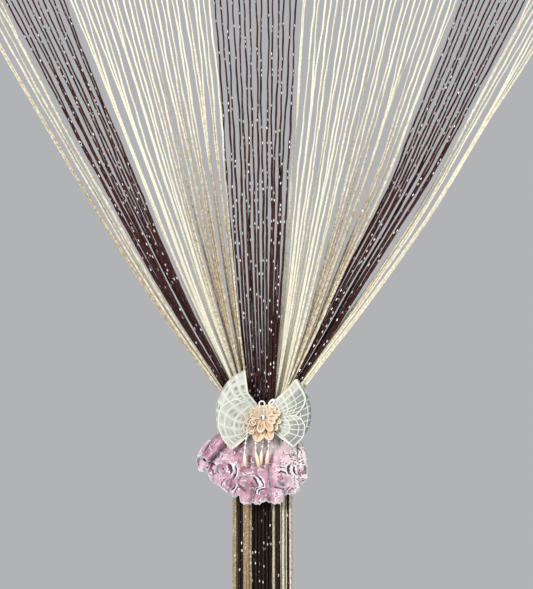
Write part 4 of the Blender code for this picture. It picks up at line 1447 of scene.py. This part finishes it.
def roll_look():
    """The ruffle's cloth near its edge, dark inside the roll: a darker print with painted shade of the
    hollow tube.
    """
    look = Look("roll_print", roughness=0.6)
    turn, along, _ = look.values_of("weave")
    cloud = look.noise(look.joined(turn * 3.0, along), 70.0, 3.0)
    pink = look.mix(look.between(cloud, 0.38, 0.62), (0.32, 0.13, 0.21), (0.58, 0.33, 0.42))
    pink = with_thin_strokes(look, turn, along, 11 * MM, 0.6, pink)
    # Inside the roll: painted shade over a darker print
    dark = look.mix(cloud, (0.02, 0.008, 0.012), (0.20, 0.08, 0.12))
    look.colour(look.mix(look.between(turn, 0.028, 0.034), pink, dark))
    look.bump(look.wave(along, THREAD_PITCH), 0.06 * MM)
    return look.material


def make_roll():
    """The ruffle's left edge, rolled up into a hollow tube that opens outwards; gives its open edge."""
    path = table_curve(ROLL_PATH, np.linspace(0, 1, 30), MM)
    middle, radius = path[:, None, :3], path[:, None, 3:]
    axis = unit(np.gradient(middle[:, 0], axis=0))
    side = unit(np.cross(axis, (0, 1, 0)))
    front = np.cross(side, axis)
    turn = np.linspace(0, 2 * math.pi * ROLL_TURNS, 72)[None, :, None]
    share = turn / turn.max()
    along = lengths_along(middle[:, 0])
    folds = np.sin(5 * turn + 70 * along[:, None, None]) + 0.6 * np.sin(9 * turn - 40 * along[:, None, None])
    radius = radius * (1 - 0.55 * share) + 0.35 * MM * folds * (1 - share)
    grid = middle + radius * (np.cos(turn) * side[:, None] - np.sin(turn) * front[:, None])
    weave = (share[..., 0] * ROLL_CLOTH, along[:, None])
    roll = as_sheet("frill_roll", grid, roll_look(), "printed_cloth", weave)
    solidified(roll, CLOTH_THICKNESS)
    return grid[-1]


def make_frill():
    grid, weave, sheer = frill_points(FRILL_COLUMNS, FRILL_ROWS)
    frill = as_sheet("frill_cloth", grid, frill_look(), "printed_cloth", weave, sheer=sheer.ravel())
    solidified(frill, CLOTH_THICKNESS)
    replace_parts(frill, "frill")
    tubes = Tubes(round_section(6))
    for edge, swing in ((grid[:, -1], (0, 0, -1)), (make_roll(), (0, -1, 0))):
        line = evenly_along(edge, 1.1 * MM)
        loops = np.sin(lengths_along(line) * 2 * math.pi / (3.3 * MM))
        line += 0.4 * MM * loops[:, None] * np.array(swing)
        thick = (0.62 + 0.15 * loops) * MM
        tubes.add(line, thick, thick, across=(0, 1, 0.1))
    edge_look = cord_look("frill_edge", (0.80, 0.80, 0.78), (0.45, 0.44, 0.45), 1.4 * MM)
    edge = tubes.piece("frill_edge", edge_look, "printed_cloth")


def satin_look():
    look = Look("satin", roughness=0.32, sheen_weight=0.2)
    hollow, pale = look.value_of("hollow"), look.value_of("pale")
    cloud = look.cloud(260.0)
    blush = look.between(look.cloud(95.0, 1.0), 0.42, 0.58)
    # The hollow value paints shade in the petals' cups, at their feet round the gem, along their creases and
    # deep in the curls; the pale value is each petal's own paleness with a painted highlight towards its tip
    rim = look.mix(pale, look.mix(blush, (0.72, 0.47, 0.29), (0.80, 0.54, 0.41)), (0.81, 0.73, 0.56))
    inside = look.mix(blush, (0.22, 0.115, 0.05), (0.40, 0.21, 0.12))
    inside = look.mix(pale, inside, (0.52, 0.40, 0.27))
    shade = hollow + look.between(cloud, 0.3, 0.7, -0.1, 0.1)
    look.colour(look.mix(look.between(shade, 0.0, 1.0), rim, inside))
    look.drive("Roughness", look.between(cloud, 0.3, 0.7, 0.28, 0.42))
    look.bump(cloud, 0.12 * MM)
    return look.material


def petal_points(petal, y, slope, along, across):
    """A cupped, creased petal that rises from the flower's middle, its sides and tip turned forward."""
    distance = PETAL_HOLE + (petal.reach * MM - PETAL_HOLE) * along
    shape = np.sin(math.pi * np.minimum(0.5, 0.14 + 0.5 * along)) * np.sqrt(1 - smooth_tip(along) ** 2)
    wall = np.minimum(1, along / 0.35) * (0.55 + 0.45 * along)
    beside = np.abs(across) ** 2.4
    forward = slope * (distance - PETAL_HOLE) + petal.cup * MM * wall * beside
    forward = forward + petal.cup * MM * 0.9 * smooth_tip(along) ** 2 * (1 - beside)
    forward = forward + PETAL_CREASE * creases_of(petal, along, across)
    side = petal.half_width * MM * shape * across
    x, z = leaned(distance, side, -math.radians(petal.direction))
    return stacked(FLOWER_X + x, y - forward, FLOWER_Z + z)


def creases_of(petal, along, across):
    """Height of a petal's lengthwise creases, from about -1.6 to 1.6."""
    waves = np.cos(across * math.pi * 2.5 + petal.direction) + 0.6 * np.cos(across * math.pi * 4.3)
    return waves * np.sin(math.pi * np.clip(along, 0, 1)) ** 0.6 * (1 - across**2)


def smooth_tip(along):
    """0 along a petal's blade, rising to 1 at its tip."""
    return np.clip((along - 0.62) / 0.38, 0, 1)


def petal_rim(petal, y, slope):
    """A petal's outline from one side of its foot round its tip to the other: line, radius, and paleness
    with a painted highlight towards the tip.
    """
    foot, steps = 0.12, 26
    edge = np.concatenate((np.linspace(foot, 1, steps), np.linspace(1, foot, steps)[1:]))
    side = np.repeat((-1.0, 1.0), (steps, steps - 1))
    line = resampled(petal_points(petal, y, slope, edge, side), len(edge))
    return line, petal.rim * MM * (0.55 + 0.45 * edge), petal.pale + 0.5 * smooth_tip(edge)


def make_petal_ring(name, node, petals, y, slope, look, under, trimmings=()):
    """All petals of a ring as one satin piece, and the rolled rims along them."""
    rims = Tubes(round_section(RIM_SIDES))
    points, faces, hollow, pale, rim_pale = [], [], [], [], []
    along = np.linspace(0.02, 1, 18)[:, None]
    across = np.linspace(-1, 1, 17)[None, :]
    tip = smooth_tip(along)
    # Painted shade, deepest in the middle of each cup and at the petals' feet round the gem
    depth = np.maximum((1 - across**2) * (1 - 0.7 * tip) * (0.5 + 0.5 * along), 1.3 - along / 0.3)
    for number, petal in enumerate(petals):
        base = y - (PETAL_STAGGER if number % 2 else 0)
        grid = petal_points(petal, base, slope, along, across)
        faces += grid_faces(*grid.shape[:2], first=number * along.size * across.size)
        points.append(grid.reshape(-1, 3))
        # Painted shade along the creases
        hollow.append((depth - PETAL_CREASE_SHADE * creases_of(petal, along, across)).ravel())
        # Paler towards the tip: a painted highlight on the petal's own paleness
        pale.append(np.broadcast_to(petal.pale + 0.5 * tip, grid.shape[:2]).ravel())
        line, size, paleness = petal_rim(petal, base, slope)
        rims.add(line, size, size, across=(0, 1, 0))
        rim_pale.append(np.repeat(paleness, RIM_SIDES))
    values = {"hollow": np.concatenate(hollow), "pale": np.concatenate(pale)}
    flower = made_piece(name, np.concatenate(points), faces, look, "peach_satin", **values)
    solidified(flower, CLOTH_THICKNESS)
    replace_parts(flower, node)
    rim_values = np.concatenate(rim_pale)
    rim = rims.piece(name + "_rims", look, "peach_satin", hollow=0 * rim_values, pale=rim_values)


def curl_points(curl):
    """A strip of satin rolled into an open cup that faces forward."""
    turn = np.linspace(0, 2 * math.pi * curl.turns, 64)[None, :]
    rise = np.linspace(0, 1, 7)[:, None]
    spread = curl.radius * MM * (1 - 0.72 * turn / turn[0, -1]) * (0.62 + 0.38 * rise**0.6)
    angle = math.radians(curl.end) + turn
    distance = math.hypot(curl.x, curl.z) * MM
    foot = FRONT_PETALS_Y - FRONT_PETALS_SLOPE * distance * 0.9
    x = FLOWER_X + curl.x * MM + spread * np.cos(angle)
    z = FLOWER_Z + curl.z * MM + spread * np.sin(angle) * 0.92
    return stacked(x, foot - CURL_HEIGHT * rise * (1 - 0.25 * turn / turn[0, -1]), z)


def make_curls(look):
    """The rolled curls as one piece, and the rims along them."""
    points, faces, hollow, pale = [], [], [], []
    rims = Tubes(round_section(RIM_SIDES))
    for number, curl in enumerate(CURLS):
        grid = curl_points(curl)
        rows, columns = grid.shape[:2]
        faces += grid_faces(rows, columns, first=number * rows * columns)
        points.append(grid.reshape(-1, 3))
        # Painted shade, deepest at the foot of the curl
        hollow.append(np.repeat(1.15 - np.linspace(0, 1, rows), columns))
        pale.append(np.full(rows * columns, curl.pale))
        rims.add(resampled(grid[-1], columns), CURL_RIM, CURL_RIM, curl.pale, across=(0, 1, 0))
    values = {"hollow": np.concatenate(hollow), "pale": np.concatenate(pale)}
    curls = made_piece("petal_curls", np.concatenate(points), faces, look, "peach_satin", **values)
    solidified(curls, CLOTH_THICKNESS)
    values = {"hollow": np.zeros(rims.count), "pale": np.full(rims.count, 0.7)}
    return curls, rims.piece("petal_curls_rims", look, "peach_satin", **values)


def make_flower():
    look = satin_look()
    curls = make_curls(look)
    back = ("petals_back", "flower_back", BACK_PETALS, BACK_PETALS_Y, BACK_PETALS_SLOPE)
    front = ("petals_front", "flower_front", FRONT_PETALS, FRONT_PETALS_Y, FRONT_PETALS_SLOPE)
    make_petal_ring(*back, look, "bow_gauze")
    make_petal_ring(*front, look, "petals_back", curls)


def painted_facet_reflection(middle, number):
    """How bright a facet's painted reflection is: dark to the left and right of the table, bright above and
    below it.
    """
    aside, above = abs(middle[0] - FLOWER_X) / GEM_RADIUS, abs(middle[2] - FLOWER_Z) / GEM_RADIUS
    dark = smoothstep(0.25, 0.6, aside) * (0.75 + 0.25 * uneven(number, 4.0))
    return 1.05 - 1.9 * dark + 0.5 * above


def round_gem(radius, forward, angles):
    """Points round the stone's middle, a distance in front of it."""
    return stacked(FLOWER_X + radius * np.cos(angles), GEM_Y - forward, FLOWER_Z + radius * np.sin(angles))


def stone_faces(sides):
    """The stone's faces as numbers of its corners, which follow each other ring after ring."""
    yield list(range(sides))[::-1]
    for side in range(sides):
        after, before = (side + 1) % sides, (side - 1) % sides
        yield [side, after, sides + side]
        yield [sides + before, side, sides + side, 2 * sides + side]
        yield [sides + side, 2 * sides + after, 2 * sides + side]
        yield [2 * sides + side, 2 * sides + after, 3 * sides + after, 3 * sides + side]
    yield [3 * sides + side for side in range(sides)]


def make_stone():
    """A faceted stone whose facets share no points, so that each one has a painted reflection of its own."""
    look = Look("stone_facets", metallic=0.35, roughness=0.07, coat_weight=1.0)
    # Facet brightness is painted reflection
    bright = look.value_of("facet") + look.between(look.cloud(900.0, 1.0), 0.3, 0.7, -0.12, 0.12)
    look.colour(look.mix(look.between(bright, 0.0, 1.0), (0.05, 0.05, 0.07), (0.97, 0.98, 1.0)))
    turns = 2 * math.pi * np.arange(STONE_SIDES) / STONE_SIDES
    rings = (round_gem(ring.radius, ring.forward, turns + ring.turn * turns[1]) for ring in STONE_RINGS)
    corners = np.concatenate(list(rings))
    points, faces, shades = [], [], []
    for number, face in enumerate(stone_faces(STONE_SIDES)):
        faces.append(list(range(len(points), len(points) + len(face))))
        points += list(corners[face])
        shades += [painted_facet_reflection(corners[face].mean(axis=0), number)] * len(face)
    stone = made_piece("stone", points, faces, look.material, "clear_stone", facet=shades)
    stone.data.shade_flat()
    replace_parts(stone, "gem")


def make_stone_cup():
    """The thin metal cup round the stone, with its four claws."""
    look = Look("stone_cup", metallic=1.0, roughness=0.25)
    wear = look.cloud(600.0)
    look.colour(look.mix(wear, (0.35, 0.34, 0.33), (0.80, 0.79, 0.77)))
    look.drive("Roughness", look.between(wear, 0.3, 0.7, 0.18, 0.40))
    tubes = Tubes(round_section(8))
    rim = round_gem(GEM_RADIUS * 0.96, -GEM_DEPTH * 0.25, np.linspace(0, 2 * math.pi, 49))
    tubes.add(rim, 0.35 * MM, 0.8 * MM, across=(0, 1, 0))
    out, forward, thick = np.array(CLAW).T
    for angle in np.radians((45, 135, 225, 315)):
        line = round_gem(out * GEM_RADIUS, forward * GEM_DEPTH, angle)
        tubes.add(line, thick * MM, thick * MM, across=(-math.sin(angle), 0, math.cos(angle)))
    tubes.piece("stone_cup", look.material, "clear_stone")


def corded_loop(name, node, place, radius, stretch, lean, ply_radius, look):
    """A loop of three twisted plies, leaning by an angle in degrees."""
    tubes = Tubes(round_section(6))
    angles = np.linspace(0, 2 * math.pi, 121)
    for ply in range(3):
        twist = angles * LOOP_TURNS + 2 * math.pi * ply / 3
        out = radius + LOOP_TWIST * np.cos(twist)
        x, z = leaned(out * np.sin(angles), stretch * out * np.cos(angles), math.radians(lean))
        line = stacked(x, LOOP_TWIST * np.sin(twist), z) + place
        tubes.add(line, ply_radius, ply_radius, ply, across=(0, 1, 0))
    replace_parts(tubes.piece(name, look, "cream_cord"), node)


def make_loops():
    look = cord_look("loop_cord", (0.93, 0.91, 0.85), (0.80, 0.75, 0.66), 1.1 * MM)
    tip = BACK_PETALS_Y - BACK_PETALS_SLOPE * (RING_RISE - RING_RADIUS - PETAL_HOLE)
    y = tip + PETAL_THICKNESS / 2 + SEAT + RING_WIRE
    ring_place = (RING_X, y, PINCH_Z + RING_RISE)
    corded_loop("ring_cord", "ring_loop", ring_place, RING_RADIUS, 1, 0, RING_PLY, look)
    slant_place = (PINCH_X + SLANT_LOOP_X, BOW_Y - SLANT_LOOP_FRONT, PINCH_Z + SLANT_LOOP_RISE)
    shape = (SLANT_LOOP_RADIUS, SLANT_LOOP_STRETCH, SLANT_LOOP_LEAN)
    corded_loop("slant_cord", "slant_loop", slant_place, *shape, SLANT_PLY, look)


def pendant_outline(pendant):
    """Radius, height and tone of a bead thread: 0 for thread, 0.5 for pearls and 1 for the drop."""
    outline = [(0.02 * MM, 0.0, 0.0), (PEARL_THREAD, 0.0, 0.0)]
    height = -pendant.bare * MM
    for _ in range(pendant.beads):
        for angle in np.radians(np.linspace(16, 164, 12)):
            drop = PEARL_RADIUS * (1 - math.cos(angle))
            outline.append((PEARL_RADIUS * math.sin(angle), height - drop, 0.5))
        height -= BEAD_PITCH
        outline.append((PEARL_THREAD, height + BEAD_PITCH - 2 * PEARL_RADIUS - 0.2 * MM, 0.0))
        outline.append((PEARL_THREAD, height + 0.1 * MM, 0.0))
    downs = np.linspace(0, 1, 26)
    for down, width in zip(downs, table_curve(DROP_OUTLINE, downs, 1.0)[:, 0]):
        outline.append((PEARL_DROP_RADIUS * width, height - DROP_LENGTH * down, 1.0))
    return np.array(outline)


def pendant_look():
    look = Look("pendant_gloss", roughness=0.2, coat_weight=0.6, coat_roughness=0.1)
    tone, down = look.values_of("part")[:2]
    cloud = look.cloud(300.0)
    pearl = look.mix(cloud, (0.88, 0.84, 0.76), (0.95, 0.92, 0.86))
    # The drop's darker, warmer lower part is painted shade
    drop = look.mix(look.between(down, 0.0, 1.0), (0.86, 0.74, 0.61), (0.78, 0.56, 0.39))
    body = look.mix(look.between(tone, 0.4, 0.5), (0.80, 0.76, 0.70), pearl)
    look.colour(look.mix(look.between(tone, 0.8, 0.9), body, drop))
    look.drive("Roughness", look.between(cloud, 0.3, 0.7, 0.14, 0.28))
    return look.material


def pendant_points(pendant, outline, angles):
    """Points round a bead thread's outline, with its drop swung aside."""
    radius, height = outline[:, :1], outline[:, 1:2]
    x, z = PINCH_X + pendant.x * MM, PINCH_Z + pendant.top * MM
    distance = math.hypot(x - FLOWER_X, z - FLOWER_Z)
    petal = BACK_PETALS_Y - BACK_PETALS_SLOPE * (distance - PETAL_HOLE) + PETAL_THICKNESS / 2
    y = petal + GAP + THREAD_RADIUS
    below = np.minimum(height - (height.min() + DROP_LENGTH), 0)
    swing = np.sign(pendant.swing) * np.abs(below) * math.tan(math.radians(abs(pendant.swing)))
    aside, up = leaned(radius * np.cos(angles) + swing, height, math.radians(-pendant.slant))
    return stacked(x + aside, y + radius * np.sin(angles), z + up)


def make_pendants():
    look = pendant_look()
    sides = 16
    angles = 2 * math.pi * np.arange(sides) / sides
    for number, pendant in enumerate(PENDANTS, 1):
        outline = pendant_outline(pendant)
        points = pendant_points(pendant, outline, angles).reshape(-1, 3)
        height, tone = outline[:, 1:2], outline[:, 2:]
        up = np.clip((height - height.min()) / DROP_LENGTH, 0, 1)
        part = stacked(tone, 1 - up, np.zeros(sides)).reshape(-1, 3)
        faces = tube_faces(len(outline), sides, 0)
        piece = made_piece(f"bead_thread_{number}", points, faces, look, "pearl", part=part)
        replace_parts(piece, f"pendant_{number}")


def make_camera():
    camera = bpy.data.objects.new("camera", bpy.data.cameras.new("camera"))
    bpy.context.scene.collection.objects.link(camera)
    bpy.context.scene.camera = camera
    view_height = PHOTO_HEIGHT * PIXEL
    middle_z = PHOTO_TOP_Z - view_height / 2
    camera.location = (0, -CAMERA_DISTANCE, middle_z)
    camera.rotation_euler = (math.pi / 2, 0, 0)
    camera.data.sensor_width = 36
    camera.data.lens = camera.data.sensor_width * CAMERA_DISTANCE / view_height


def area_light(name, place, target, size, power, colour=(1, 1, 1)):
    light = bpy.data.lights.new(name, "AREA")
    light.shape = "DISK"
    light.size = size
    light.energy = power
    light.color = colour
    lamp = bpy.data.objects.new(name, light)
    bpy.context.scene.collection.objects.link(lamp)
    lamp.location = place
    lamp.rotation_euler = (Vector(target) - Vector(place)).to_track_quat("-Z", "Y").to_euler()


def make_studio():
    """A plain pale floor under the curtain, soft lights and a pale surround."""
    bpy.context.scene.view_settings.view_transform = "Standard"
    floor_look = Look("studio_floor", roughness=0.8)
    speckle = floor_look.cloud(4.0)
    floor_look.colour(floor_look.mix(speckle, (0.50, 0.50, 0.50), (0.53, 0.53, 0.53)))
    bpy.ops.mesh.primitive_circle_add(vertices=96, radius=7.5, fill_type="NGON", location=(0, 0, FLOOR_Z))
    floor = bpy.context.object
    floor.name = "studio_floor"
    floor.data.materials.append(floor_look.material)
    world = bpy.data.worlds.new("studio")
    bpy.context.scene.world = world
    world.use_nodes = True
    surround = world.node_tree.nodes["Background"]
    surround.inputs["Color"].default_value = (0.44, 0.45, 0.465, 1)
    surround.inputs["Strength"].default_value = 1.0
    area_light("key", (-2.6, -4.2, 1.0), (0, 0, -0.8), 1.4, 250, (1.0, 0.98, 0.95))
    area_light("fill", (3.4, -3.6, 0.2), (0, 0, -0.9), 2.4, 75, (0.95, 0.98, 1.0))
    area_light("back", (1.5, 4.0, 1.2), (0, 0, -0.9), 2.0, 70)


make_all_strings()
make_heading()
make_tie_band()
make_bow()
make_frill()
make_flower()
make_stone()
make_stone_cup()
make_loops()
make_pendants()
make_camera()
make_studio()
